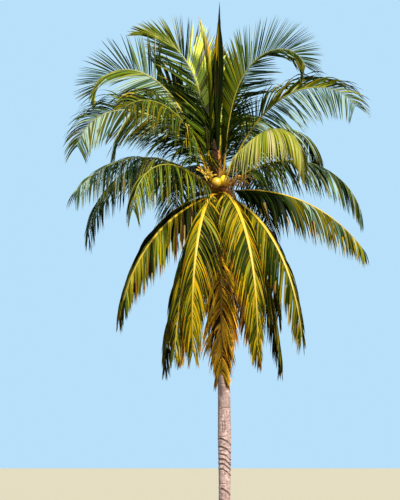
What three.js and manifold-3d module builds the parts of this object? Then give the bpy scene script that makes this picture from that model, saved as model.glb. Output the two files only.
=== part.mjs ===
// A coconut palm: a slender trunk with a flared foot, a heart of leaf sheaths at its top that
// carries the fronds, an unopened spear, nuts, flower stalks and their woody spathes.
// Millimetres, +Z up. The origin is the centre of the flat cut at ground level.
// Azimuths are in degrees: 0 is right, 90 is the far side, 180 is left and -90 is the near side.

import * as THREE from "three";
import { mergeVertices } from "three/addons/utils/BufferGeometryUtils.js";
import Module from "manifold-3d";

const wasm = await Module();
wasm.setup();

// Driving dimensions
const totalHeight = 11800; // ground to the tip of the spear
const trunkTop = 7150;
const heartTop = 8550;
const leanReach = 165; // how far left of its foot the trunk's top stands
const bowReach = 60; // how far the trunk bows back on the way up
const leanHeight = 7500;
const spearLean = 0.017; // the spear's slope to the right, above the heart
const seatGap = 0.3; // clearance where one piece rests against another
const archGap = 0.48; // between the two halves of a frond that arches over
const leafletLength = 1180; // the longest leaflets
const petioleShares = [0.14, 0.09]; // the bare share of a young and of an old frond
const petioleStations = [0, 0.17, 0.4, 0.7]; // shares of that, closest where it leaves its sheath
const leafletPairs = 14;
const petioleWidth = 96;
const petioleDepth = 54;
const bladeWidth = 62; // the rib where the leaflets begin
const bladeDepth = 42;
const tipWidth = 12;
const tipDepth = 10;
const endLeafletLength = 315; // the blade runs on this far past its last leaflets
const nutDiameter = 240;
const nutStretch = 1.08; // a nut is this much taller than wide
const spearTipRadius = 6;
const trunkSides = 16;
const spearSides = 8;
const runSteps = 240; // steps that a rib or stalk is marched in
const growthSeed = 7;

// Outlines as [height, radius]
const trunkOutline = [
  [0, 232],
  [140, 212],
  [330, 168],
  [620, 134],
  [1000, 130],
  [2100, 149],
  [3000, 140],
  [4600, 128],
  [trunkTop, 116],
];
const heartOutline = [
  [trunkTop, 119],
  [7300, 150],
  [7720, 166],
  [8050, 142],
  [8330, 90],
  [heartTop, 62],
];
const spearOutline = [
  [heartTop, 52],
  [9200, 66],
  [9900, 118],
  [10500, 124],
  [10950, 92],
  [11350, 38],
];

// The fronds that the view from the near side shows, youngest first. Elevations are in degrees:
// rise at the foot, less bend at the tip, and a larger hold keeps a frond straight for longer.
const seenFronds = [
  { name: "young_left", azimuth: -160, rise: 91, bend: 13, hold: 2.2, length: 3190, height: 8090, roll: -30 },
  { name: "young_right", azimuth: 64, rise: 91, bend: 29, hold: 1.4, length: 2652, height: 8041, roll: 28 },
  { name: "top_left", azimuth: 154, rise: 86, bend: 80, hold: 2.5, length: 4100, height: 8045 },
  { name: "top_right", azimuth: -31, rise: 85, bend: 155, hold: 2.8, length: 4419, height: 7992 },
  { name: "top_far", azimuth: 105, rise: 76, bend: 140, hold: 2, length: 4500, height: 7960 },
  { name: "upper_left", azimuth: 177, rise: 70, bend: 151, hold: 3.1, length: 4461, height: 7895 },
  { name: "upper_right", azimuth: -12, rise: 65, bend: 122, hold: 2.3, length: 4340, height: 7844 },
  { name: "upper_near", azimuth: -130, rise: 63, bend: 93, hold: 1.6, length: 3929, height: 7820 },
  { name: "middle_left", azimuth: 195, rise: 63, bend: 143, hold: 1.9, length: 4386, height: 7762 },
  { name: "middle_near", azimuth: -49, rise: 44, bend: 144, hold: 2.4, length: 3651, height: 7885 },
  { name: "middle_right", azimuth: 41, rise: 48, bend: 140, hold: 2.5, length: 4050, height: 7806 },
  { name: "lower_right", azimuth: 14, rise: 43, bend: 118, hold: 1.3, length: 4100, height: 7685 },
  { name: "lower_left", azimuth: 199, rise: 51, bend: 104, hold: 1, length: 3800, height: 7675 },
  { name: "near_left", azimuth: -127, rise: 28, bend: 116, hold: 2, length: 3700, height: 7600 },
  { name: "level_right", azimuth: -14, rise: 10, bend: 63, hold: 1, length: 3700, height: 7609 },
  { name: "drooping_left", azimuth: 218, rise: -17, bend: 56, hold: 1.1, length: 3700, height: 7520 },
  { name: "hanging_near_left", azimuth: -105, rise: 19, bend: 118, hold: 0.5, length: 4648, height: 7530 },
  { name: "hanging_near_right", azimuth: -71, rise: 14, bend: 107, hold: 0.6, length: 4900, height: 7574 },
  { name: "hanging_right", azimuth: -48, rise: 0, bend: 82, hold: 0.65, length: 4500, height: 7500 },
  { name: "hanging_left", azimuth: -116, rise: -6, bend: 74, hold: 0.4, length: 4200, height: 7420 },
];

// The far side repeats the crown's tiers, a few fronds to a tier
const farTiers = [
  { name: "far_upper", count: 2, azimuth: 78, step: 56, rise: 64, bend: 140, hold: 1.8, length: 4600, height: 7830 },
  { name: "far_middle", count: 3, azimuth: 69, step: 39, rise: 42, bend: 126, hold: 1.2, length: 4500, height: 7722 },
  { name: "far_lower", count: 3, azimuth: 62, step: 38, rise: 6, bend: 84, hold: 0.8, length: 4300, height: 7510 },
  { name: "far_hanging", count: 3, azimuth: 38, step: 46, rise: -30, bend: 54, hold: 0.6, length: 4200, height: 7410 },
];

// Withered fronds that hang against the trunk
const witheredFronds = [
  { name: "withered_near", azimuth: -84, rise: -62, bend: 26, hold: 0.5, length: 4000, height: 7290 },
  { name: "withered_right", azimuth: -14, rise: -56, bend: 30, hold: 0.5, length: 3600, height: 7330 },
  { name: "withered_left", azimuth: 166, rise: -58, bend: 28, hold: 0.5, length: 3500, height: 7300 },
];

// Sheath of a frond: how it leaves the heart before it takes its own elevation
const rootRadius = 60; // where a frond's rib starts, inside the heart
const heartRadius = 150;
const sheathLength = 350;
const sheathHighest = 50;
const sheathLowest = -40;
const bladeRoll = 70; // how far the blades that reach sideways turn their near leaflets down
const rolledBy = 0.6; // the share of a frond by which it has turned
const rollAges = [0.2, 0.34]; // between these ages a blade turns back
const oldRoll = 0.25; // the share of its turn that is left then

// A frond's age runs from 0, upright and young, to 1, hanging against the trunk
const youngestRise = 88;
const riseLost = 120; // degrees that a frond sinks in its whole life
const openedAge = 0.02; // by this age its leaflets have opened
const petioleAges = [0.25, 0.6];

// A frond that arches over this far is made in two halves
const archRise = 25;
const archBend = 100;
const archElevation = 24; // the halves meet where the rib has sunk to this

// How leaflets grow, as shares of the blade, of their length or of a spread, and in degrees
const leafletRule = {
  firstLength: 0.58,
  fullFrom: 0.3,
  lengthLost: 0.6,
  lossCurve: 1.8,
  foldedSpread: [0.48, 0.1],
  firstSpread: 66,
  spreadLost: 30,
  spreadCurve: 0.9,
  youngLift: 22,
  liftLost: 96,
  lowestLift: -26,
  leastDroop: 0.1,
  mostDroop: 2.3,
  droopAges: [0.05, 0.42],
  oldSpread: 0.6,
  oldAges: [0.45, 0.65],
  bend: 0.45,
  halfWidth: 0.26,
  leastHalfWidth: 22,
  ridge: 0.0115,
  leastRidge: 7,
};

// Clearance that is tested round a leaflet
const probeGrowth = 2;
const probeOffset = 0.08; // where it starts off its rib, as a share of its length
const probeShrink = 0.2;

const barkLook = { color: 0x9d9086, roughness: 0.9, metalness: 0 };
const sheathLook = { color: 0x8a6a3c, roughness: 0.85, metalness: 0 };
const spearLook = { color: 0x3d4a22, roughness: 0.6, metalness: 0 };
const youngLook = { color: 0x9aa83e, roughness: 0.55, metalness: 0 };
const greenLook = { color: 0x4c6428, roughness: 0.55, metalness: 0 };
const yellowLook = { color: 0xa3922c, roughness: 0.6, metalness: 0 };
const strawLook = { color: 0xa07a3e, roughness: 0.8, metalness: 0 };
const nutLook = { color: 0xc9a93a, roughness: 0.5, metalness: 0 };
const flowerLook = { color: 0xd08a45, roughness: 0.7, metalness: 0 };
const spatheLook = { color: 0x5a3b34, roughness: 0.75, metalness: 0 };

const up = new THREE.Vector3(0, 0, 1);
const degrees = THREE.MathUtils.degToRad;
const mix = THREE.MathUtils.lerp;
const clamp = THREE.MathUtils.clamp;

// A repeatable stream of numbers from 0 to 1
function seededNumbers(seed) {
  let state = seed;
  return () => {
    state = (state * 1664525 + 1013904223) % 4294967296;
    return state / 4294967296;
  };
}

// The trunk's centre line, as a sideways offset at a height
function centreAt(height) {
  const share = clamp(height / leanHeight, 0, 1);
  const righted = spearLean * Math.max(height - heartTop, 0);
  return righted - leanReach * share + bowReach * Math.sin(Math.PI * share);
}

function mergedGeometry(geometry) {
  geometry.deleteAttribute("normal");
  geometry.deleteAttribute("uv");
  return mergeVertices(geometry, 1e-3);
}

function solidFrom(points, triangles) {
  const mesh = new wasm.Mesh({
    numProp: 3,
    vertProperties: new Float32Array(points.flatMap((p) => [p.x, p.y, p.z])),
    triVerts: new Uint32Array(triangles.flat()),
  });
  return new wasm.Manifold(mesh);
}

function solidFromGeometry(geometry) {
  const merged = mergedGeometry(geometry);
  return new wasm.Manifold(
    new wasm.Mesh({
      numProp: 3,
      vertProperties: new Float32Array(merged.attributes.position.array),
      triVerts: new Uint32Array(merged.index.array),
    })
  );
}

function geometryFrom(solid) {
  const mesh = solid.getMesh();
  const geometry = new THREE.BufferGeometry();
  geometry.setAttribute("position", new THREE.Float32BufferAttribute(mesh.vertProperties, 3));
  geometry.setIndex(Array.from(mesh.triVerts));
  return geometry;
}

// A turned body whose axis follows the trunk's centre line
function turnedAlongTrunk(outline, sides, growth = 0) {
  const lowest = outline[0][0];
  const highest = outline[outline.length - 1][0];
  const profile = [new THREE.Vector2(0, lowest)];
  outline.forEach(([height, radius]) => profile.push(new THREE.Vector2(radius + growth, height)));
  profile.push(new THREE.Vector2(0, highest));
  const geometry = mergedGeometry(new THREE.LatheGeometry(profile, sides).rotateX(Math.PI / 2));
  const position = geometry.attributes.position;
  for (let i = 0; i < position.count; i += 1) {
    position.setX(i, position.getX(i) + centreAt(position.getZ(i)));
  }
  return geometry;
}

// A closed body through rings of points, all with the same number of points. A ring of one point
// is a pointed end.
function loftedSolid(rings) {
  const sides = Math.max(...rings.map((ring) => ring.length));
  const points = rings.flat();
  const starts = [];
  rings.reduce((total, ring) => (starts.push(total), total + ring.length), 0);
  const at = (ring, side) => starts[ring] + (rings[ring].length === 1 ? 0 : side % sides);
  const triangles = [];
  for (let ring = 0; ring + 1 < rings.length; ring += 1) {
    for (let side = 0; side < sides; side += 1) {
      if (rings[ring].length > 1) {
        triangles.push([at(ring, side), at(ring, side + 1), at(ring + 1, side)]);
      }
      if (rings[ring + 1].length > 1) {
        triangles.push([at(ring, side + 1), at(ring + 1, side + 1), at(ring + 1, side)]);
      }
    }
  }
  const last = rings.length - 1;
  for (let side = 1; side + 1 < sides; side += 1) {
    if (rings[0].length > 1) {
      triangles.push([at(0, 0), at(0, side + 1), at(0, side)]);
    }
    if (rings[last].length > 1) {
      triangles.push([at(last, 0), at(last, side), at(last, side + 1)]);
    }
  }
  return solidFrom(points, triangles);
}

function ageOf({ rise }) {
  return clamp((youngestRise - rise) / riseLost, 0, 1);
}

function petioleOf(spec) {
  return mix(...petioleShares, THREE.MathUtils.smoothstep(ageOf(spec), ...petioleAges));
}

// Where a rib or stalk runs: stations with a centre and a frame, at shares of its length
function runOf(spec, shares) {
  const around = degrees(spec.azimuth);
  const outward = new THREE.Vector3(Math.cos(around), Math.sin(around), 0);
  const side = new THREE.Vector3(-Math.sin(around), Math.cos(around), 0);
  const turnedBack = mix(1, oldRoll, THREE.MathUtils.smoothstep(ageOf(spec), ...rollAges));
  const fullRoll = degrees(spec.roll ?? bladeRoll * Math.cos(around)) * turnedBack;
  const sheathRise = clamp(spec.rise, sheathLowest, sheathHighest);
  const elevationAt = (share) => {
    const own = spec.rise - spec.bend * share ** spec.hold;
    const settled = THREE.MathUtils.smoothstep(share * spec.length, 0, sheathLength);
    return degrees(mix(sheathRise, own, settled));
  };
  const footDrop = (heartRadius - rootRadius) * Math.tan(degrees(sheathRise));
  const centre = outward.clone().multiplyScalar(rootRadius);
  centre.x += centreAt(spec.height);
  centre.z = spec.height - footDrop;
  const stations = [];
  let step = 0;
  for (const share of shares) {
    for (; step < Math.round(share * runSteps); step += 1) {
      const elevation = elevationAt((step + 0.5) / runSteps);
      const pace = spec.length / runSteps;
      centre.addScaledVector(outward, pace * Math.cos(elevation));
      centre.addScaledVector(up, pace * Math.sin(elevation));
    }
    const elevation = elevationAt(share);
    const along = outward.clone().multiplyScalar(Math.cos(elevation));
    along.addScaledVector(up, Math.sin(elevation));
    const roll = fullRoll * Math.sin((Math.PI / 2) * Math.min(share / rolledBy, 1));
    const above = along.clone().cross(side).applyAxisAngle(along, roll);
    const across = side.clone().applyAxisAngle(along, roll);
    stations.push({ share, elevation, centre: centre.clone(), along, side: across, above });
  }
  return stations;
}

// A tapering stalk of a few sides along such a run
function stalkSolid(spec, radiusAt, sides, count) {
  const shares = Array.from({ length: count + 1 }, (_, i) => i / count);
  const rings = runOf(spec, shares).map(({ share, centre, side, above }) => {
    const radius = radiusAt(share);
    if (radius === 0) {
      return [centre];
    }
    return Array.from({ length: sides }, (_, i) => {
      const turn = (2 * Math.PI * i) / sides;
      const point = centre.clone().addScaledVector(side, radius * Math.cos(turn));
      return point.addScaledVector(above, radius * Math.sin(turn));
    });
  });
  return loftedSolid(rings);
}

// A rib's stations, each with its four corners: far side of the rib first, tops before bottoms
function ribStations(spec) {
  const petioleShare = petioleOf(spec);
  const shares = petioleStations.map((share) => share * petioleShare);
  for (let pair = 0; pair <= leafletPairs; pair += 1) {
    shares.push(mix(petioleShare, 1, pair / leafletPairs));
  }
  return runOf(spec, shares).map((station) => {
    const blade = clamp((station.share - petioleShare) / (1 - petioleShare), 0, 1);
    const petiole = clamp(station.share / petioleShare, 0, 1);
    const full = station.share < petioleShare;
    const width = full ? mix(petioleWidth, bladeWidth, petiole) : mix(bladeWidth, tipWidth, blade);
    const depth = full ? mix(petioleDepth, bladeDepth, petiole) : mix(bladeDepth, tipDepth, blade);
    const corner = (across, high) => {
      const point = station.centre.clone().addScaledVector(station.side, (across * width) / 2);
      return point.addScaledVector(station.above, (high * depth) / 2);
    };
    const top = [corner(1, 1), corner(-1, 1)];
    const bottom = [corner(1, -1), corner(-1, -1)];
    return { ...station, blade, width, depth, top, bottom };
  });
}

// How long a leaflet is, along the blade
function leafletShape(blade) {
  const { firstLength, fullFrom, lengthLost, lossCurve } = leafletRule;
  const rising = mix(firstLength, 1, Math.sin((Math.PI / 2) * Math.min(blade / fullFrom, 1)));
  const falling = 1 - lengthLost * clamp((blade - fullFrom) / (1 - fullFrom), 0, 1) ** lossCurve;
  return rising * falling;
}

// One leaflet of a frond: its middle section and tip. Young fronds lift their leaflets, and old
// ones let them hang.
function leafletAt(stations, index, hand, age, change) {
  const near = stations[index];
  const far = stations[index + 1];
  const blade = (near.blade + far.blade) / 2;
  const along = near.along.clone().add(far.along).normalize();
  const above = near.above.clone().add(far.above).normalize();
  const centre = near.centre.clone().add(far.centre).multiplyScalar(0.5);
  const root = centre.clone().addScaledVector(near.side, (hand * (near.width + far.width)) / 4);
  const rule = leafletRule;
  const opened = clamp(age / openedAge, 0, 1);
  const fullSpread = rule.firstSpread - rule.spreadLost * blade ** rule.spreadCurve;
  const folded = mix(mix(...rule.foldedSpread, blade), 1, opened);
  const closed = mix(1, rule.oldSpread, THREE.MathUtils.smoothstep(age, ...rule.oldAges));
  const spread = degrees(folded * closed * fullSpread);
  const lift = degrees(Math.max(rule.youngLift - rule.liftLost * age, rule.lowestLift) + change.lift);
  const length = leafletLength * leafletShape(blade) * change.length;
  const heading = along.clone().multiplyScalar(Math.cos(spread));
  heading.addScaledVector(near.side, hand * Math.sin(spread) * Math.cos(lift));
  heading.addScaledVector(above, Math.sin(spread) * Math.sin(lift));
  const aged = THREE.MathUtils.smoothstep(age, ...rule.droopAges);
  const droop = mix(rule.leastDroop, rule.mostDroop, aged) + change.droop;
  const ending = heading.clone().addScaledVector(up, -droop).normalize();
  const middle = root.clone().addScaledVector(heading, rule.bend * length);
  const tip = middle.clone().addScaledVector(ending, (1 - rule.bend) * length);
  const interval = near.centre.distanceTo(far.centre);
  const acrossHalf = along.clone().addScaledVector(heading, -along.dot(heading)).normalize();
  acrossHalf.multiplyScalar(Math.max(rule.halfWidth * interval * Math.sin(spread), rule.leastHalfWidth));
  const ridge = heading.clone().cross(acrossHalf).normalize();
  ridge.multiplyScalar(Math.sign(ridge.dot(above)) * Math.max(rule.ridge * length, rule.leastRidge));
  return { index, hand, root, heading, along, above, length, middle, tip, acrossHalf, ridge };
}

// The faces of a leaflet between its four root corners and its tip. Point numbers: near top, far
// top, far bottom, near bottom, near edge, ridge, far edge, tip.
const leafletFaces = [
  [0, 1, 5],
  [1, 6, 5],
  [0, 5, 4],
  [3, 4, 2],
  [4, 6, 2],
  [0, 4, 3],
  [1, 2, 6],
  [6, 7, 5],
  [5, 7, 4],
  [4, 7, 6],
];
const leafletRootFaces = [
  [0, 2, 1],
  [0, 3, 2],
];

// Its middle section and tip, grown by a clearance where it is only tested
function leafletPoints(leaflet, growth = 0) {
  const across = leaflet.acrossHalf.clone();
  across.setLength(across.length() + growth);
  const ridge = leaflet.ridge.clone();
  ridge.setLength(ridge.length() + growth);
  const below = ridge.clone().setLength(growth);
  return [
    leaflet.middle.clone().sub(across).sub(below),
    leaflet.middle.clone().add(ridge),
    leaflet.middle.clone().add(across).sub(below),
    leaflet.tip.clone().addScaledVector(leaflet.heading, growth),
  ];
}

// A leaflet as a loose solid a little larger than life, to test what it would touch. Against the
// leaflets of its own frond it starts off its rib, because neighbours share their roots.
function leafletProbe(leaflet, stations, offRib) {
  const near = stations[leaflet.index];
  const far = stations[leaflet.index + 1];
  const which = leaflet.hand > 0 ? 0 : 1;
  const points = [near.top[which], far.top[which], far.bottom[which], near.bottom[which]];
  if (offRib) {
    const middle = new THREE.Vector3();
    points.forEach((point) => middle.addScaledVector(point, 1 / points.length));
    const offset = leaflet.heading.clone().multiplyScalar(probeOffset * leaflet.length);
    points.forEach((point, i) => {
      points[i] = point.clone().lerp(middle, probeShrink).add(offset);
    });
  }
  points.push(...leafletPoints(leaflet, probeGrowth));
  const faces = [...leafletFaces, ...leafletRootFaces];
  const turned = leaflet.hand > 0 ? faces : faces.map(([a, b, c]) => [a, c, b]);
  return { solid: solidFrom(points, turned), box: new THREE.Box3().setFromPoints(points) };
}

function ribProbes(stations) {
  const probes = [];
  for (let i = 0; i + 1 < stations.length; i += 1) {
    const ring = ({ top, bottom }) => [top[0], top[1], bottom[1], bottom[0]];
    const rings = [ring(stations[i]), ring(stations[i + 1])];
    probes.push({ solid: loftedSolid(rings), box: new THREE.Box3().setFromPoints(rings.flat()) });
  }
  return probes;
}

function probeOf(solid) {
  const { min, max } = solid.boundingBox();
  return { solid, box: new THREE.Box3(new THREE.Vector3(...min), new THREE.Vector3(...max)) };
}

function touches(probe, other) {
  if (!probe.box.intersectsBox(other.box)) {
    return false;
  }
  const shared = probe.solid.intersect(other.solid);
  const meets = !shared.isEmpty();
  shared.delete();
  return meets;
}

// What a leaflet may do to stay clear of its neighbours, before it is left out
const leafletChanges = [
  { length: 1, droop: 0, lift: 0 },
  { length: 1, droop: 0.35, lift: 0 },
  { length: 1, droop: 0, lift: 16 },
  { length: 1, droop: 0.2, lift: -16 },
  { length: 0.82, droop: 0, lift: 0 },
  { length: 0.82, droop: 0.5, lift: -12 },
  { length: 0.66, droop: 0, lift: 12 },
  { length: 0.66, droop: 0.4, lift: 0 },
  { length: 0.5, droop: 0, lift: 0 },
  { length: 0.36, droop: 0, lift: 0 },
];

function clearLeaflets(frond, obstacles, random) {
  const leaflets = [];
  const ownLeaflets = [];
  const first = frond.stations.length - 1 - leafletPairs;
  for (let index = first; index + 1 < frond.stations.length; index += 1) {
    for (const hand of [1, -1]) {
      const length = mix(0.92, 1.06, random());
      const droop = mix(-0.08, 0.08, random());
      for (const change of leafletChanges) {
        const own = { lift: change.lift, length: change.length * length, droop: change.droop + droop };
        const leaflet = leafletAt(frond.stations, index, hand, frond.age, own);
        const loose = leafletProbe(leaflet, frond.stations, true);
        const whole = leafletProbe(leaflet, frond.stations, false);
        const blocked = ownLeaflets.some((other) => touches(loose, other));
        if (!blocked && !obstacles.some((other) => other.frond !== frond && touches(whole, other))) {
          leaflets.push(leaflet);
          ownLeaflets.push(loose);
          obstacles.push({ ...whole, frond });
          break;
        }
      }
    }
  }
  return leaflets;
}

// A stretch of a frond, from one station to another: the rib, with each leaflet drawn out of the
// rib's side between two stations
function bladeSolid(stations, leaflets, from, to) {
  const points = [];
  const triangles = [];
  const add = (point) => points.push(point) - 1;
  const quad = (a, b, c, d) => triangles.push([a, b, c], [a, c, d]);
  const corners = stations.slice(from, to + 1).map((station, i) => {
    const shift = i === 0 && from > 0 ? archGap : 0;
    const moved = (point) => add(point.clone().addScaledVector(station.along, shift));
    return { top: station.top.map(moved), bottom: station.bottom.map(moved) };
  });
  for (let i = 0; i + 1 < corners.length; i += 1) {
    const near = corners[i];
    const far = corners[i + 1];
    quad(near.top[0], near.top[1], far.top[1], far.top[0]);
    quad(far.bottom[0], far.bottom[1], near.bottom[1], near.bottom[0]);
    for (const [which, hand] of [1, -1].entries()) {
      const root = [near.top[which], far.top[which], far.bottom[which], near.bottom[which]];
      const leaflet = leaflets.find((one) => one.index === from + i && one.hand === hand);
      const faces = leaflet ? leafletFaces : leafletRootFaces.map(([a, b, c]) => [a, c, b]);
      const numbers = leaflet ? [...root, ...leafletPoints(leaflet).map(add)] : root;
      for (const face of faces) {
        const [a, b, c] = face.map((corner) => numbers[corner]);
        triangles.push(hand > 0 ? [a, b, c] : [a, c, b]);
      }
    }
  }
  const first = corners[0];
  quad(first.top[0], first.bottom[0], first.bottom[1], first.top[1]);
  const last = corners[corners.length - 1];
  if (to + 1 < stations.length) {
    quad(last.top[0], last.top[1], last.bottom[1], last.bottom[0]);
  } else {
    const end = stations[to];
    const tip = add(end.centre.clone().addScaledVector(end.along, endLeafletLength));
    const ring = [last.top[0], last.top[1], last.bottom[1], last.bottom[0]];
    ring.forEach((corner, i) => triangles.push([corner, ring[(i + 1) % ring.length], tip]));
  }
  return solidFrom(points, triangles);
}

// A frond that arches over is two pieces that meet face to face at the top of its arch
function archStation(frond) {
  const first = frond.stations.length - 1 - leafletPairs;
  const arches = frond.rise > archRise && frond.bend > archBend;
  const top = frond.stations.findIndex((station) => station.elevation < degrees(archElevation));
  return arches && top > first ? Math.min(top, frond.stations.length - 3) : 0;
}

function allFronds() {
  const hidden = farTiers.flatMap((tier) =>
    Array.from({ length: tier.count }, (_, i) => ({
      ...tier,
      name: `${tier.name}_${i + 1}`,
      azimuth: tier.azimuth + i * tier.step,
    }))
  );
  return [...seenFronds, ...hidden, ...witheredFronds].map((spec) => {
    return { ...spec, age: ageOf(spec), stations: ribStations(spec) };
  });
}

// Rounded nuts against a short stalk
const nutStalkRadii = [26, 14];

function nutBunch(spec, nuts) {
  let bunch = stalkSolid(spec, (share) => mix(...nutStalkRadii, share), 6, 3);
  const around = degrees(spec.azimuth);
  for (const { out, across, rise } of nuts) {
    const ball = new THREE.SphereGeometry(nutDiameter / 2, 8, 6).rotateX(Math.PI / 2);
    ball.scale(1, 1, nutStretch);
    const x = centreAt(spec.height) + out * Math.cos(around) - across * Math.sin(around);
    const y = out * Math.sin(around) + across * Math.cos(around);
    ball.translate(x, y, spec.height + rise);
    bunch = bunch.add(solidFromGeometry(ball));
  }
  return bunch;
}

// Branchlets spray from the outer half of a flower stalk. Pairs are from least to most.
const flowerRule = {
  branchlets: 7,
  stalkRadii: [20, 5],
  from: [0.5, 0.97],
  sideways: [0.7, 1.1],
  upwards: [-0.5, 0.6],
  length: [260, 360],
  radii: [9, 10, 5],
  sagRadius: 900,
};

function flowerSolid(spec, random) {
  const rule = flowerRule;
  const count = rule.branchlets;
  let flower = stalkSolid(spec, (share) => mix(...rule.stalkRadii, share), 5, 5);
  const shares = Array.from({ length: count }, (_, i) => mix(...rule.from, i / (count - 1)));
  runOf(spec, shares).forEach(({ centre, along, side, above }, i) => {
    const hand = i % 2 === 0 ? 1 : -1;
    const heading = along.clone().addScaledVector(side, hand * mix(...rule.sideways, random()));
    heading.addScaledVector(above, mix(...rule.upwards, random())).normalize();
    const across = heading.clone().cross(above).normalize();
    const length = mix(...rule.length, random());
    const ring = (reach, radius) => {
      const middle = centre.clone().addScaledVector(heading, reach);
      middle.addScaledVector(up, (-reach * reach) / rule.sagRadius);
      return [0, 1, 2].map((corner) => {
        const turn = (2 * Math.PI * corner) / 3;
        const point = middle.clone().addScaledVector(across, radius * Math.cos(turn));
        return point.addScaledVector(heading.clone().cross(across), radius * Math.sin(turn));
      });
    };
    const rings = rule.radii.map((radius, part) => ring((part / 2) * length, radius));
    flower = flower.add(loftedSolid(rings));
  });
  return flower;
}

const palm = new THREE.Group();

function addMesh(name, geometry, look) {
  const mesh = new THREE.Mesh(geometry, new THREE.MeshStandardMaterial(look));
  mesh.name = name;
  palm.add(mesh);
}

// An outline whose lowest point is lifted clear of the piece that it stands on
function raised([[height, radius], ...rest]) {
  return [[height + seatGap, radius], ...rest];
}

const trunk = turnedAlongTrunk(trunkOutline, trunkSides);
const heart = turnedAlongTrunk(raised(heartOutline), trunkSides);
const spear = turnedAlongTrunk([...raised(spearOutline), [totalHeight, spearTipRadius]], spearSides);
addMesh("trunk", trunk, barkLook);
addMesh("heart", heart, sheathLook);
addMesh("spear", spear, spearLook);

// Whatever grows from the top of the palm is cut to this, a seat's clearance off its surface
const hollowOutline = [...trunkOutline.slice(-2), ...heartOutline];
const seatCutter = solidFromGeometry(turnedAlongTrunk(hollowOutline, trunkSides, 1.1 * seatGap));
const seated = (solid) => solid.subtract(seatCutter);

const random = seededNumbers(growthSeed);
const nutStalk = { azimuth: -76, rise: 30, bend: 60, hold: 1, length: 330, height: 7780 };
const farNutStalk = { azimuth: 88, rise: 20, bend: 60, hold: 1, length: 330, height: 7650 };
const nutPlaces = [
  { out: 345, across: -95, rise: 20 },
  { out: 345, across: 95, rise: 90 },
];
const farNutPlaces = [
  { out: 360, across: -95, rise: 60 },
  { out: 360, across: 95, rise: 40 },
];
const flowerRight = { azimuth: -30, rise: 48, bend: 50, hold: 1, length: 700, height: 7740 };
const flowerLeft = { azimuth: -124, rise: 58, bend: 50, hold: 1.2, length: 640, height: 7745 };

// A spathe's radius along its length: blunt at its foot, widest in the middle and pointed at its end
function spatheRadius(widest, share) {
  return share === 1 ? 0 : widest * Math.sin(Math.PI * mix(0.16, 0.98, share)) ** 0.8;
}

const spathes = [
  { name: "spathe_near", widest: 84, azimuth: -104, rise: 84, bend: 6, hold: 1, length: 960, height: 7990 },
  { name: "spathe_left", widest: 50, azimuth: -159, rise: 5, bend: 52, hold: 1, length: 820, height: 7598 },
  { name: "spathe_right", widest: 58, azimuth: -52, rise: 4, bend: 60, hold: 1, length: 760, height: 7670 },
];

const fruit = [
  { name: "nuts_near", look: nutLook, solid: seated(nutBunch(nutStalk, nutPlaces)) },
  { name: "nuts_far", look: nutLook, solid: seated(nutBunch(farNutStalk, farNutPlaces)) },
  { name: "flowers_right", look: flowerLook, solid: seated(flowerSolid(flowerRight, random)) },
  { name: "flowers_left", look: flowerLook, solid: seated(flowerSolid(flowerLeft, random)) },
  ...spathes.map((spec) => ({
    name: spec.name,
    look: spatheLook,
    solid: seated(stalkSolid(spec, (share) => spatheRadius(spec.widest, share), 6, 6)),
  })),
];
fruit.forEach(({ name, look, solid }) => addMesh(name, geometryFrom(solid), look));

// Fronds: every rib is an obstacle to the leaflets of the others
const fronds = allFronds();
const obstacles = [trunk, heart, spear].map((geometry) => probeOf(solidFromGeometry(geometry.clone())));
fruit.forEach(({ solid }) => obstacles.push(probeOf(solid)));
fronds.forEach((frond) => {
  ribProbes(frond.stations).forEach((probe) => obstacles.push({ ...probe, frond }));
});

function frondLook({ name, rise }) {
  if (name.startsWith("withered")) {
    return strawLook;
  }
  if (name.startsWith("young")) {
    return youngLook;
  }
  return rise < 20 ? yellowLook : greenLook;
}

for (const frond of fronds) {
  const leaflets = clearLeaflets(frond, obstacles, random);
  const last = frond.stations.length - 1;
  const arch = archStation(frond);
  const look = frondLook(frond);
  const inner = seated(bladeSolid(frond.stations, leaflets, 0, arch || last));
  addMesh(`frond_${frond.name}`, geometryFrom(inner), look);
  if (arch) {
    const outer = bladeSolid(frond.stations, leaflets, arch, last);
    addMesh(`frond_${frond.name}_outer`, geometryFrom(outer), look);
  }
}

export default palm;
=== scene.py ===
import math

import bmesh
import bpy
import numpy as np
from mathutils import Matrix


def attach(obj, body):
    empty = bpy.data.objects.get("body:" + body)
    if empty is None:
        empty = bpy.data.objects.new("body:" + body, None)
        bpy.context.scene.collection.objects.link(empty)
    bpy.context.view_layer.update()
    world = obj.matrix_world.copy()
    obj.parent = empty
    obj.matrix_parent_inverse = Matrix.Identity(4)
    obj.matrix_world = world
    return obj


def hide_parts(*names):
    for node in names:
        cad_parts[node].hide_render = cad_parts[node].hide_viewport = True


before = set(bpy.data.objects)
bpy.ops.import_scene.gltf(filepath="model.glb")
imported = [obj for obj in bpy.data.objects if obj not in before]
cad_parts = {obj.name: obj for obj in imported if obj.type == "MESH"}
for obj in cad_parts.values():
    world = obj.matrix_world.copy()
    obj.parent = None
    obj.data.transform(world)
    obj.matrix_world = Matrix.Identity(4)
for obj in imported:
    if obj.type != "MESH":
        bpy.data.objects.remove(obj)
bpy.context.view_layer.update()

# The looks of a coconut palm. Leaflets, ribs, bark, sheaths, nuts and flowers grow by the same
# rules as the solids that they replace. Metres, +Z up. Azimuth 0 is right and -90 the near side.
luck = np.random.default_rng(23)
upward = np.array([0.0, 0.0, 1.0])
fullTurn = 2 * np.pi


# Camera, light and floor

view = {"eye": (-0.55, -90.0, 1.6), "pitch": 2.991, "lens": 288}
studio = {
    "floor": "776f5c",
    "floorSize": 600,
    "sky": "b8e0fb",
    "skyStrength": 1.52,
    "exposure": -0.6,
    "sunColour": (1, 0.95, 0.84),
    "sunSpread": 3,
    "suns": {"key": (21, (40, 0, 27)), "fill": (0.2, (55, 0, 150))},  # power, and turn in degrees
}


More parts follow.
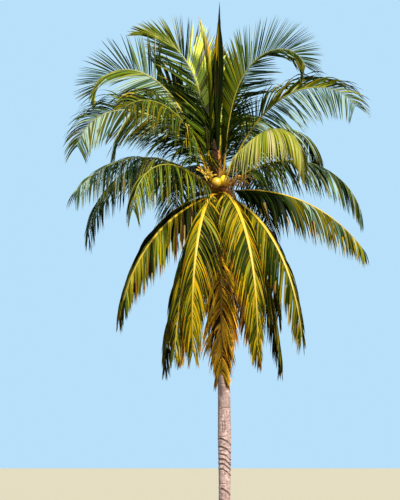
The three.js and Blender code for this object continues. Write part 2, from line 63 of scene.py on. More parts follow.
def linearColour(code):
    # a web colour as the linear red, green, blue and alpha of a shader
    parts = [int(code[i:i + 2], 16) / 255 for i in (0, 2, 4)]
    return tuple(p / 12.92 if p <= 0.04045 else ((p + 0.055) / 1.055) ** 2.4 for p in parts) + (1.0,)


def addStudio():
    scene = bpy.context.scene
    scene.view_settings.view_transform = "Standard"
    scene.view_settings.exposure = studio["exposure"]
    lens = bpy.data.cameras.new("camera")
    lens.lens = view["lens"]
    camera = bpy.data.objects.new("camera", lens)
    camera.location = view["eye"]
    camera.rotation_euler = (math.radians(90 + view["pitch"]), 0, 0)
    scene.collection.objects.link(camera)
    scene.camera = camera
    for name, (power, turn) in studio["suns"].items():
        sun = bpy.data.lights.new(name, "SUN")
        sun.energy = power
        sun.color = studio["sunColour"]
        sun.angle = math.radians(studio["sunSpread"])
        lamp = bpy.data.objects.new(name, sun)
        lamp.rotation_euler = [math.radians(turned) for turned in turn]
        scene.collection.objects.link(lamp)
    scene.world = bpy.data.worlds.new("studio")
    scene.world.use_nodes = True
    background = scene.world.node_tree.nodes["Background"]
    background.inputs["Color"].default_value = linearColour(studio["sky"])
    background.inputs["Strength"].default_value = studio["skyStrength"]
    print("studio: camera, two lights and a pale sky")


def addFloor():
    slab = bmesh.new()
    bmesh.ops.create_grid(slab, x_segments=1, y_segments=1, size=studio["floorSize"])
    mesh = bpy.data.meshes.new("floor")
    slab.to_mesh(mesh)
    slab.free()
    floor = bpy.data.objects.new("floor", mesh)
    bpy.context.scene.collection.objects.link(floor)
    mesh.materials.append(Look("floor", Base_Color=linearColour(studio["floor"]), Roughness=0.9).finish())


# Materials

class Wire:
    # a node's socket that can stand in a sum, which adds a Math node
    def __init__(self, look, socket):
        self.look = look
        self.socket = socket

    def sum(self, operation, first, second):
        return self.look.node("ShaderNodeMath", {"operation": operation}, {0: first, 1: second})

    def __add__(self, other):
        return self.sum("ADD", self, other)

    def __radd__(self, other):
        return self.sum("ADD", other, self)

    def __sub__(self, other):
        return self.sum("SUBTRACT", self, other)

    def __rsub__(self, other):
        return self.sum("SUBTRACT", other, self)

    def __mul__(self, other):
        return self.sum("MULTIPLY", self, other)

    def __rmul__(self, other):
        return self.sum("MULTIPLY", other, self)


class Look:
    # a material whose nodes are added by short calls
    def __init__(self, name, **fixed):
        self.material = bpy.data.materials.new(name)
        self.material.use_nodes = True
        self.tree = self.material.node_tree
        self.shader = self.tree.nodes["Principled BSDF"]
        for socket, value in fixed.items():
            self.shader.inputs[socket.replace("_", " ")].default_value = value

    def node(self, kind, settings=None, inputs=None, output=0):
        made = self.tree.nodes.new(kind)
        for key, value in (settings or {}).items():
            if key == "stops":
                self.setStops(made.color_ramp, value)
            else:
                setattr(made, key, value)
        for key, value in (inputs or {}).items():
            self.join(value, made.inputs[key])
        return Wire(self, made.outputs[output])

    def setStops(self, ramp, stops):
        colours = [(place, linearColour(code)) for place, code in stops]
        ramp.elements[0].position, ramp.elements[0].color = colours[0]
        ramp.elements[1].position, ramp.elements[1].color = colours[-1]
        for place, colour in colours[1:-1]:
            ramp.elements.new(place).color = colour

    def join(self, value, socket):
        if isinstance(value, Wire):
            self.tree.links.new(value.socket, socket)
        else:
            socket.default_value = value

    def places(self, scale=(1, 1, 1)):
        spots = self.node("ShaderNodeTexCoord", output="Object")
        return self.node("ShaderNodeMapping", {}, {"Vector": spots, "Scale": scale})

    def combined(self, x, y, z):
        return self.node("ShaderNodeCombineXYZ", {}, {0: x, 1: y, 2: z})

    def noise(self, places, scale, detail=4, roughness=0.55):
        sizes = {"Vector": places, "Scale": scale, "Detail": detail, "Roughness": roughness}
        return self.node("ShaderNodeTexNoise", {}, sizes)

    def ramp(self, value, *stops):
        return self.node("ShaderNodeValToRGB", {"stops": stops}, {0: value})

    def within(self, value, low, high):
        # 0 below low, 1 above high and smooth between
        ends = {0: value, 1: low, 2: high}
        return self.node("ShaderNodeMapRange", {"interpolation_type": "SMOOTHSTEP"}, ends)

    def tinted(self, factor, first, code):
        kinds = {"data_type": "RGBA", "blend_type": "MIX"}
        return self.node("ShaderNodeMix", kinds, {0: factor, 6: first, 7: linearColour(code)}, 2)

    def stored(self, name):
        return self.node("ShaderNodeAttribute", {"attribute_name": name}, output="Fac")

    def bump(self, height, strength, distance):
        sizes = {"Strength": strength, "Distance": distance, "Height": height}
        return self.node("ShaderNodeBump", {}, sizes)

    def finish(self, **wires):
        for socket, wire in wires.items():
            self.join(wire, self.shader.inputs[socket.replace("_", " ")])
        return self.material


rampPlaces = (0.34, 0.5, 0.66)  # of a dark, a middle and a light colour


# Leaf colours are dealt out leaflet by leaflet, so each is plain. Beside it stands its underside's tone,
# mostly a step darker as painted shade
leafTones = {
    # shade: a near-black tone that stands in for shadow, painted shade
    "shade": ("0a1003", "shade"),
    "deep": ("172104", "shade"),
    # a grey-green with a blue cast: painted sky sheen on glossy leaflets
    "sea": ("2d4233", "green"),
    "green": ("2b3a05", "deep"),
    "fresh": ("425006", "green"),
    "lime": ("60610b", "fresh"),
    "pale": ("706d34", "lime"),
    "cream": ("77704b", "pale"),
    # a bright lime tone: painted glow of light through leaflets that lie in shade
    "glowing": ("b4bd48", "glowing"),
    # a pale blue-grey: painted sky sheen, stronger than the tone above
    "mist": ("6c7b69", "sea"),
    "olive": ("413a04", "deep"),
    "moss": ("4d4905", "olive"),
    "yellow": ("766506", "olive"),
    "gold": ("866b06", "yellow"),
    "amber": ("c28e24", "orange"),
    "orange": ("7c4808", "orange"),
    "rust": ("4a280b", "brown"),
    "straw": ("766032", "rust"),
    "brown": ("281a0b", "brown"),
}
dryTones = "orange rust straw brown".split()
dimTones = "shade deep olive moss yellow gold amber orange brown".split()  # they mirror least sky
leafLooks = {}


def leafMaterial(tone):
    if tone not in leafLooks:
        colour = linearColour(leafTones[tone][0])
        roughness = 0.75 if tone in dryTones else 0.5
        shine = 0.02 if tone in dimTones else 0.1
        look = Look("leaf_" + tone, Base_Color=colour, Roughness=roughness, Specular_IOR_Level=shine)
        leafLooks[tone] = look.finish()
    return leafLooks[tone]


# Shapes

smoothUpTo = 50  # degrees between two faces


def straightTube(sides, rows, pointed=False):
    # an upright tube of unit radius from z 0 to 1, closed at both ends
    tube = bmesh.new()
    middle = Matrix.Translation((0, 0, 0.5))
    bmesh.ops.create_cone(tube, cap_ends=True, segments=sides, radius1=1, radius2=1, depth=1, matrix=middle)
    upright = [edge for edge in tube.edges if abs(edge.verts[0].co.z - edge.verts[1].co.z) > 0.5]
    bmesh.ops.subdivide_edges(tube, edges=upright, cuts=rows - 1)
    if pointed:
        top = [vert for vert in tube.verts if vert.co.z > 1 - 0.5 / rows]
        bmesh.ops.pointmerge(tube, verts=top, merge_co=(0, 0, 1))
    return shapeOf(tube)


def shapeOf(made):
    # what the operators made, as arrays that can be bent and repeated
    made.verts.index_update()
    faces = [[vert.index for vert in face.verts] for face in made.faces]
    shape = {
        "points": np.array([vert.co for vert in made.verts]),
        "corners": np.concatenate(faces),
        "sizes": np.array([len(face) for face in faces]),
        "centres": np.array([face.calc_center_median() for face in made.faces]),
    }
    made.free()
    return shape


def batchOf(shape, points, slots=0, **stored):
    # copies of a shape: their points, the slot of each face and what each point stores
    return {"shape": shape, "points": points.reshape(-1, 3), "slots": slots, "stored": stored}


def addPiece(name, batches, materials):
    # one mesh from all batches
    corners, sizes, slots = [], [], []
    stored = {key: [] for key in batches[0]["stored"]}
    offset = 0
    for batch in batches:
        shape = batch["shape"]
        size = len(shape["points"])
        copies = len(batch["points"]) // size
        shifts = offset + size * np.arange(copies)
        corners.append((shape["corners"][None, :] + shifts[:, None]).ravel())
        sizes.append(np.tile(shape["sizes"], copies))
        slots.append(np.broadcast_to(batch["slots"], (copies, len(shape["sizes"]))).ravel())
        for key, parts in stored.items():
            parts.append(np.broadcast_to(batch["stored"][key], (copies, size)).ravel())
        offset += size * copies
    points = np.concatenate([batch["points"] for batch in batches])
    corners = np.concatenate(corners)
    sizes = np.concatenate(sizes)
    mesh = bpy.data.meshes.new(name)
    mesh.vertices.add(offset)
    mesh.vertices.foreach_set("co", points.astype(np.float32).ravel())
    mesh.loops.add(len(corners))
    mesh.loops.foreach_set("vertex_index", corners.astype(np.int32))
    mesh.polygons.add(len(sizes))
    mesh.polygons.foreach_set("loop_start", (np.cumsum(sizes) - sizes).astype(np.int32))
    mesh.polygons.foreach_set("material_index", np.concatenate(slots).astype(np.int32))
    mesh.polygons.foreach_set("use_smooth", np.ones(len(sizes), bool))
    mesh.update(calc_edges=True)
    for key, parts in stored.items():
        attribute = mesh.attributes.new(key, "FLOAT", "POINT")
        attribute.data.foreach_set("value", np.concatenate(parts).astype(np.float32))
    for material in materials:
        mesh.materials.append(material)
    mesh.set_sharp_from_angle(angle=math.radians(smoothUpTo))
    piece = bpy.data.objects.new(name, mesh)
    bpy.context.scene.collection.objects.link(piece)
    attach(piece, "root")
    return piece


def unit(vectors):
    return vectors / np.maximum(np.linalg.norm(vectors, axis=-1, keepdims=True), 1e-9)


def smoothStep(value, low=0.0, high=1.0):
    share = np.clip((value - low) / (high - low), 0, 1)
    return share * share * (3 - 2 * share)


def mixed(first, second, share):
    return first + (second - first) * share


def hump(away, width):
    # 1 in the middle, falling off over the width
    return np.exp(-(away / width) ** 2)


def arch(away, reach):
    # 1 in the middle, falling in an arc to 0 at its reach
    return np.sqrt(np.clip(1 - (away / reach) ** 2, 0, 1))


def angleOf(flat):
    return np.arctan2(flat[:, 1], flat[:, 0])


def bearings(turn):
    # the level directions outward and sideways at an angle, or at each of many
    level = np.zeros_like(turn)
    outward = np.stack([np.cos(turn), np.sin(turn), level], axis=-1)
    return outward, np.stack([-np.sin(turn), np.cos(turn), level], axis=-1)


# The trunk's line

lean = {"reach": 0.165, "bow": 0.06, "height": 7.5, "righted": 0.017, "heartTop": 8.55}


def centreAt(height):
    # how far the trunk's axis stands to the side at a height
    share = np.clip(np.asarray(height, float) / lean["height"], 0, 1)
    righted = lean["righted"] * np.maximum(np.asarray(height, float) - lean["heartTop"], 0)
    return righted + lean["bow"] * np.sin(np.pi * share) - lean["reach"] * share


def axisAt(height):
    return np.stack([centreAt(height), np.zeros_like(height), height], axis=-1)


def roundAxis(radius, angle, height):
    return np.stack([centreAt(height) + radius * np.cos(angle), radius * np.sin(angle), height], axis=-1)


def outlineRadius(outline, height, softness=0.05):
    # the radius of an outline, with its corners rounded over that height
    heights, radii = zip(*outline)
    shifts = np.linspace(-softness, softness, 9)
    return np.mean([np.interp(height + shift, heights, radii) for shift in shifts], axis=0)


trunk = {
    "outline": (
        (0, 0.232), (0.14, 0.212), (0.33, 0.168), (0.62, 0.134), (1, 0.130),
        (2.1, 0.149), (3, 0.140), (4.6, 0.128), (7.15, 0.116),
    ),
    "sides": 72,
    "rings": 620,
    "firstScar": 0.1,
    "scarGap": (0.055, 0.135),
    "scarTilt": 0.034,
    "scarDepth": (0.003, 0.0075),
    "scarWidth": (0.006, 0.012),
    "wrapped": (-0.35, 0.9),
    "arcs": (1.98, 1.8, 1.64, 1.53, 1.42, 1.3, 0.86),
    "arcTilt": 0.075,
    "arcDepth": 0.012,
    "arcLedge": 0.007,
    "splits": 30,
    "splitReach": (0.07, 0.24),
    "splitDepth": 0.005,
    "eye": {"height": 2.32, "turn": math.radians(-98), "reach": 0.135, "depth": 0.008},
    "footRidge": 0.008,
    "footHeight": 0.16,
    "bark": ((0.36, "4a3733"), (0.49, "7d645f"), (0.62, "a8938e")),
    "stain": "66534f",
    "scarred": "2f241f",
}


def barkMaterial():
    look = Look("bark")
    fibres = look.noise(look.places((1, 1, 0.16)), 60, 6, 0.65)
    patches = look.noise(look.places((1, 1, 0.5)), 3.4, 5, 0.6)
    mottling = look.noise(look.places((1, 1, 1.4)), 15, 3, 0.6)
    grain = look.noise(look.places(), 150, 3)
    scar = look.stored("scar")
    base = look.ramp(fibres * 0.4 + patches * 0.2 + mottling * 0.4, *trunk["bark"])
    stained = look.tinted(look.within(patches, 0.5, 0.68), base, trunk["stain"])
    darkened = look.tinted(look.within(scar, 0.1, 0.9), stained, trunk["scarred"])
    height = fibres * 0.6 + grain * 0.25 - scar * 0.3
    normal = look.bump(height, 0.6, 0.012)
    return look.finish(Base_Color=darkened, Roughness=0.78 + fibres * 0.2, Normal=normal)


def cutRings(angle, height, relief, scars):
    # ring scars, each deepest on one side, with a low ledge above
    place = trunk["firstScar"]
    while place < trunk["outline"][-1][0]:
        tilt = luck.uniform(0.25, 1) * trunk["scarTilt"]
        turn = luck.uniform(0, fullTurn)
        wobble = luck.uniform(0, 6)
        depth = luck.uniform(*trunk["scarDepth"])
        width = luck.uniform(*trunk["scarWidth"])
        level = place + tilt * np.cos(angle - turn)
        level = level + 0.006 * np.sin(3 * angle + wobble) + 0.004 * np.sin(7 * angle - wobble)
        away = height - level
        strength = smoothStep(np.cos(angle - luck.uniform(0, fullTurn)), *trunk["wrapped"])
        groove = hump(away, width) * (0.25 + 0.75 * strength)
        ledge = hump(away - 2.6 * width, 1.6 * width) * strength
        relief += depth * (0.45 * ledge - groove)
        np.maximum(scars, groove * depth / trunk["scarDepth"][1], out=scars)
        place += luck.uniform(*trunk["scarGap"])


def cutArcs(angle, height, relief, scars):
    # deep scars that fall towards one side
    for number, place in enumerate(trunk["arcs"]):
        level = place - trunk["arcTilt"] * (np.cos(angle - 0.3) + 0.25 * np.cos(2 * angle))
        level = level + 0.006 * np.sin(5 * angle + number)
        width = 0.021 + 0.008 * math.sin(2.3 * number)
        facing = np.cos(angle + 1.2 + 0.3 * math.sin(3 * number))
        groove = hump(height - level, width) * smoothStep(facing, -0.2, 0.5)
        relief += trunk["arcLedge"] * hump(height - level - 0.035, 0.02) - trunk["arcDepth"] * groove
        np.maximum(scars, groove * 0.75, out=scars)


def cutSplits(angle, height, relief, scars):
    # lengthwise splits
    for split in range(trunk["splits"]):
        middle = luck.uniform(0.2, trunk["outline"][-1][0] - 0.6)
        turn = luck.uniform(-np.pi, np.pi)
        reach = luck.uniform(*trunk["splitReach"])
        depth = trunk["splitDepth"] * luck.uniform(0.4, 1)
        across = np.angle(np.exp(1j * (angle - turn))) - 0.05 * np.sin(9 * height)
        opened = arch(height - middle, reach)
        gash = hump(across, 0.035 + 0.05 * opened) * opened
        relief -= depth * gash
        np.maximum(scars, gash * 0.5, out=scars)


def cutEye(angle, height, relief, scars):
    # a healed wound, ringed like an eye
    eye = trunk["eye"]
    across = np.angle(np.exp(1j * (angle - eye["turn"])))
    opened = arch(height - eye["height"], eye["reach"])
    rim = hump(np.abs(across) - 0.2 * opened, 0.07) * smoothStep(opened, 0, 0.3)
    relief -= eye["depth"] * rim
    np.maximum(scars, rim * 0.85, out=scars)


def addTrunk():
    shape = straightTube(trunk["sides"], trunk["rings"])
    flat = shape["points"]
    height = flat[:, 2] * trunk["outline"][-1][0]
    angle = angleOf(flat)
    relief = np.zeros(len(flat))
    scars = np.zeros(len(flat))
    for cut in (cutRings, cutArcs, cutSplits, cutEye):
        cut(angle, height, relief, scars)
    relief += 0.0025 * np.sin(5 * angle + 3 * height) * np.sin(2.1 * height + 1)
    footwards = np.exp(-height / trunk["footHeight"])
    relief += trunk["footRidge"] * np.cos(11 * angle + 2) * footwards - trunk["footRidge"] * footwards
    radius = outlineRadius(trunk["outline"], height) + relief * smoothStep(height, 0, 0.03)
    points = roundAxis(radius, angle, height)
    piece = addPiece("trunk_bark", [batchOf(shape, points, scar=scars)], [barkMaterial()])
    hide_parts("trunk")
    print("trunk: bark with ring scars and splits")


# Fronds

runKeys = ("azimuth", "rise", "bend", "hold", "length", "height", "roll")


def growing(*numbers):
    # azimuth, rise at the foot and bend to the tip in degrees, how late the bend comes (1 is even),
    # length, the height where it leaves the trunk's axis and, for two fronds, the blade's roll
    return dict(zip(runKeys, numbers))


frondRows = (  # name, palette and how it grows
    ("young_left", "young", -160, 91, 13, 2.2, 3.19, 8.09, -30),
    ("young_right", "youngGreen", 64, 91, 29, 1.4, 2.652, 8.041, 28),
    ("top_left", "gilded", 154, 86, 80, 2.5, 4.1, 8.045),
    ("top_right", "top", -31, 85, 155, 2.8, 4.419, 7.992),
    ("top_far", "dark", 105, 76, 140, 2, 4.5, 7.96),
    ("upper_left", "top", 177, 70, 151, 3.1, 4.461, 7.895),
    ("upper_right", "gilded", -12, 65, 122, 2.3, 4.34, 7.844),
    ("upper_near", "tangled", -130, 63, 93, 1.6, 3.929, 7.82),
    ("middle_left", "upper", 195, 63, 143, 1.9, 4.386, 7.762),
    ("middle_near", "bright", -49, 44, 144, 2.4, 3.651, 7.885),
    ("middle_right", "upper", 41, 48, 140, 2.5, 4.05, 7.806),
    ("lower_right", "dark", 14, 43, 118, 1.3, 4.1, 7.685),
    ("lower_left", "lower", 199, 51, 104, 1, 3.8, 7.675),
    ("near_left", "greening", -127, 28, 116, 2, 3.7, 7.6),
    ("level_right", "turning", -14, 10, 63, 1, 3.7, 7.609),
    ("drooping_left", "turning", 218, -17, 56, 1.1, 3.7, 7.52),
    ("hanging_near_left", "hanging", -105, 19, 118, 0.5, 4.648, 7.53),
    ("hanging_near_right", "hanging", -71, 14, 107, 0.6, 4.9, 7.574),
    ("hanging_right", "dusky", -48, 0, 82, 0.65, 4.5, 7.5),
    ("hanging_left", "dusky", -116, -6, 74, 0.4, 4.2, 7.42),
    ("withered_near", "withered", -84, -62, 26, 0.5, 4, 7.29),
    ("withered_right", "withered", -14, -56, 30, 0.5, 3.6, 7.33),
    ("withered_left", "withered", 166, -58, 28, 0.5, 3.5, 7.3),
)
farTiers = (  # name, palette, how many, step in azimuth, and how the first grows
    ("far_upper", "dark", 2, 56, 78, 64, 140, 1.8, 4.6, 7.83),
    ("far_middle", "dark", 3, 39, 69, 42, 126, 1.2, 4.5, 7.722),
    ("far_lower", "dusky", 3, 38, 62, 6, 84, 0.8, 4.3, 7.51),
    ("far_hanging", "dusky", 3, 46, 38, -30, 54, 0.6, 4.2, 7.41),
)
fronds = [{"name": name, "palette": palette, **growing(*rest)} for name, palette, *rest in frondRows]
for name, palette, many, step, azimuth, *rest in farTiers:
    for number in range(many):
        own = {"name": f"{name}_{number + 1}", "palette": palette}
        fronds.append({**own, **growing(azimuth + number * step, *rest)})

# Ages, growth and how a foot clasps the heart, as in the solids
growth = {
    "youngest": 88,
    "riseLost": 120,
    "openedAge": 0.02,
    "leaflet": 1.18,
    "petioles": (0.14, 0.09),
    "petioleAges": (0.25, 0.6),
}
sheath = {
    "root": 0.06,
    "heart": 0.15,
    "length": 0.35,
    "highest": 50,
    "lowest": -40,
    "roll": 70,
    "rolledBy": 0.6,
    "rollAges": (0.2, 0.34),
    "oldRoll": 0.25,
}


def ageOf(spec):
    return min(max((growth["youngest"] - spec["rise"]) / growth["riseLost"], 0), 1)


def petioleOf(spec):
    return mixed(*growth["petioles"], smoothStep(ageOf(spec), *growth["petioleAges"]))


def runOf(spec, shares):
    # where a rib or stalk runs: its centre and frame at shares of its length
    shares = np.asarray(shares, float)
    around = math.radians(spec["azimuth"])
    outward, side = bearings(around)
    first = min(max(spec["rise"], sheath["lowest"]), sheath["highest"])

    def elevationAt(share):
        ownRise = spec["rise"] - spec["bend"] * share ** spec["hold"]
        settled = smoothStep(share * spec["length"], 0, sheath["length"])
        return np.radians(mixed(first, ownRise, settled))

    ticks = np.linspace(0, 1, 241)
    slopes = elevationAt((ticks[1:] + ticks[:-1]) / 2)
    pace = spec["length"] / (len(ticks) - 1)
    outs = np.interp(shares, ticks, pace * np.concatenate([[0], np.cumsum(np.cos(slopes))]))
    ups = np.interp(shares, ticks, pace * np.concatenate([[0], np.cumsum(np.sin(slopes))]))
    footDrop = (sheath["heart"] - sheath["root"]) * math.tan(math.radians(first))
    start = sheath["root"] * outward + np.array([centreAt(spec["height"]), 0, spec["height"] - footDrop])
    elevation = elevationAt(shares)[:, None]
    along = outward * np.cos(elevation) + upward * np.sin(elevation)
    above = np.cross(along, side)
    turned = np.sin(np.pi / 2 * np.minimum(shares / sheath["rolledBy"], 1))
    turned = turned * mixed(1, sheath["oldRoll"], smoothStep(ageOf(spec), *sheath["rollAges"]))
    roll = (np.radians(spec.get("roll", sheath["roll"] * math.cos(around))) * turned)[:, None]
    return {
        "centre": start + outs[:, None] * outward + ups[:, None] * upward,
        "along": along,
        "side": side * np.cos(roll) + above * np.sin(roll),
        "above": above * np.cos(roll) - side * np.sin(roll),
        "outward": outward,
    }


def bentTube(shape, run, halfWidth, halfDepth, sections=None):
    # a straight tube bent along a run, whose rows are the tube's rows
    flat = shape["points"]
    row = np.rint(flat[:, 2] * (len(run["centre"]) - 1)).astype(int)
    across, high = (flat[:, 0], flat[:, 1]) if sections is None else sections(flat, row)
    sideways = run["side"][row] * (across * halfWidth[row])[:, None]
    return run["centre"][row] + sideways + run["above"][row] * (high * halfDepth[row])[:, None], row


# Leaflets. A pair is for young and old fronds, for a blade's start and tip, or a range
leaflet = {
    "pairs": 32,  # for each metre of blade
    "stagger": 0.4,
    "clustered": 3,
    "clusterSteps": (0.4, 1.6),
    "clustering": 0.6,
    "rows": 7,
    "outline": ((0, 0.6), (0.06, 0.72), (0.3, 1), (0.55, 0.86), (0.8, 0.5), (0.93, 0.22), (1, 0.04)),
    "halfWidth": 0.0195,
    "widths": (0.85, 1.1),
    "narrowest": 0.45,
    "thick": 0.0034,
    "thinned": 0.6,
    "lengths": (0.92, 1.06),
    "firstLength": 0.58,
    "fullFrom": 0.3,
    "lengthLost": 0.6,
    "lossCurve": 1.8,
    "foldedSpread": (0.48, 0.1),
    "firstSpread": 66,
    "spreadLost": 30,
    "spreadCurve": 0.9,
    "youngLift": 22,
    "liftLost": 96,
    "lowestLift": -26,
    "droop": (0.1, 2.3),
    "droopAges": (0.05, 0.42),
    "droops": (0.75, 1.25),
    "fullDroop": 0.7,
    "droopCurve": 1.3,
    "sway": (2, 6),
    "ownSway": 0.5,
    "liftSway": (6, 3),  # of a cluster, and of one leaflet
    "foldSway": 8,
    "folds": (58, 34),  # closed and opened
    "tilt": (0.1, 0.22),
    "twist": (0.15, 0.35),
    "oldTwist": 0.7,
    "roots": (0.031, 0.006),  # half the rib's width
    "rootShare": 0.8,
    "oldSpread": 0.6,
    "oldWidth": 1.2,
    "oldPairs": 1.3,
    "oldAges": (0.45, 0.65),
}


def leafletLengths(blade):
    rising = mixed(leaflet["firstLength"], 1, np.sin(np.pi / 2 * np.minimum(blade / leaflet["fullFrom"], 1)))
    past = np.clip((blade - leaflet["fullFrom"]) / (1 - leaflet["fullFrom"]), 0, 1)
    return growth["leaflet"] * rising * (1 - leaflet["lengthLost"] * past ** leaflet["lossCurve"])


def placeLeaflets(shape, root, heading, along, above, length, halfWidth, droop, fold, tilt, twist):
    # every leaflet's points: a folded strip that sags from its heading and turns about itself
    rows = leaflet["rows"]
    shares = np.arange(rows + 1) / rows
    middles = (shares[1:] + shares[:-1]) / 2
    sag = (middles / leaflet["fullDroop"]) ** leaflet["droopCurve"]
    steps = unit(heading[:, None] - upward * (droop[:, None] * sag)[..., None])
    steps = steps * (length / rows)[:, None, None]
    centre = root[:, None] + np.concatenate([np.zeros_like(steps[:, :1]), np.cumsum(steps, axis=1)], axis=1)
    course = unit(np.concatenate([steps[:, :1], steps[:, 1:] + steps[:, :-1], steps[:, -1:]], axis=1))
    across = unit(along[:, None] - course * np.sum(along[:, None] * course, axis=-1, keepdims=True))
    normal = np.cross(course, across)
    normal *= np.sign(np.sum(normal[:, :1] * above[:, None], axis=-1, keepdims=True))
    turn = (tilt[:, None] + twist[:, None] * shares)[..., None]
    turnedAcross = across * np.cos(turn) + normal * np.sin(turn)
    normal = normal * np.cos(turn) - across * np.sin(turn)
    flat = shape["points"]
    row = np.rint(flat[:, 2] * rows).astype(int)
    wide = np.interp(shares, *zip(*leaflet["outline"]))[row] * halfWidth[:, None]
    thick = leaflet["thick"] * (1 - leaflet["thinned"] * shares[row])
    sideways = flat[:, 0] * wide * np.cos(fold)[:, None]
    # the edges lie below the midrib, whose lower face is the tube's lower points
    high = -np.abs(flat[:, 0]) * wide * np.sin(fold)[:, None] + np.minimum(flat[:, 1], 0) * thick
    return centre[:, row] + turnedAcross[:, row] * sideways[..., None] + normal[:, row] * high[..., None]


# Tones from dark to light, tones of ends that have turned, the share of leaflets with such ends, and
# how much neighbours differ
palettes = {
    "young": ("green fresh lime lime pale lime pale", "pale lime yellow", 0.2, 0.2),
    "youngGreen": ("deep green fresh green fresh lime", "lime fresh", 0.1, 0.2),
    "top": ("shade shade deep deep green green sea mist", "fresh olive mist", 0.2, 0.2),
    "gilded": ("shade shade deep deep green green fresh lime", "yellow olive lime", 0.3, 0.2),
    "upper": ("shade shade deep deep green olive fresh mist", "olive fresh lime", 0.2, 0.2),
    "bright": ("fresh lime pale lime pale cream cream", "yellow cream straw", 0.2, 0.1),
    "lower": ("shade deep green olive fresh moss lime lime pale", "yellow straw olive", 0.25, 0.2),
    "tangled": ("shade deep olive deep green moss deep fresh", "gold olive moss", 0.2, 0.2),
    "greening": ("shade deep olive green moss green fresh lime", "gold lime moss rust", 0.25, 0.2),
    # dark: darker tones as painted shade, mostly for fronds behind the crown
    "dark": ("shade deep deep green sea green fresh lime", "green olive deep", 0.15, 0.2),
    "turning": ("shade deep olive green moss fresh lime yellow", "gold straw yellow rust", 0.4, 0.2),
    "hanging": ("deep deep olive moss olive lime yellow gold", "gold yellow orange straw", 0.4, 0.3),
    "dusky": ("shade deep olive deep moss green yellow moss", "yellow gold straw rust", 0.3, 0.3),
    "withered": ("brown orange amber gold amber straw amber", "straw amber orange", 0.6, 0.35),
}
fromFoot, toTip = -1, 2  # past a blade's ends, so nothing fades there


def stretch(first, last, tones=None, hand=0, **changes):
    # where a blade differs, on one hand or both: calm and lift, and shares of the rule's numbers
    return {"span": (first, last), "tones": tones, "hand": hand, **changes}


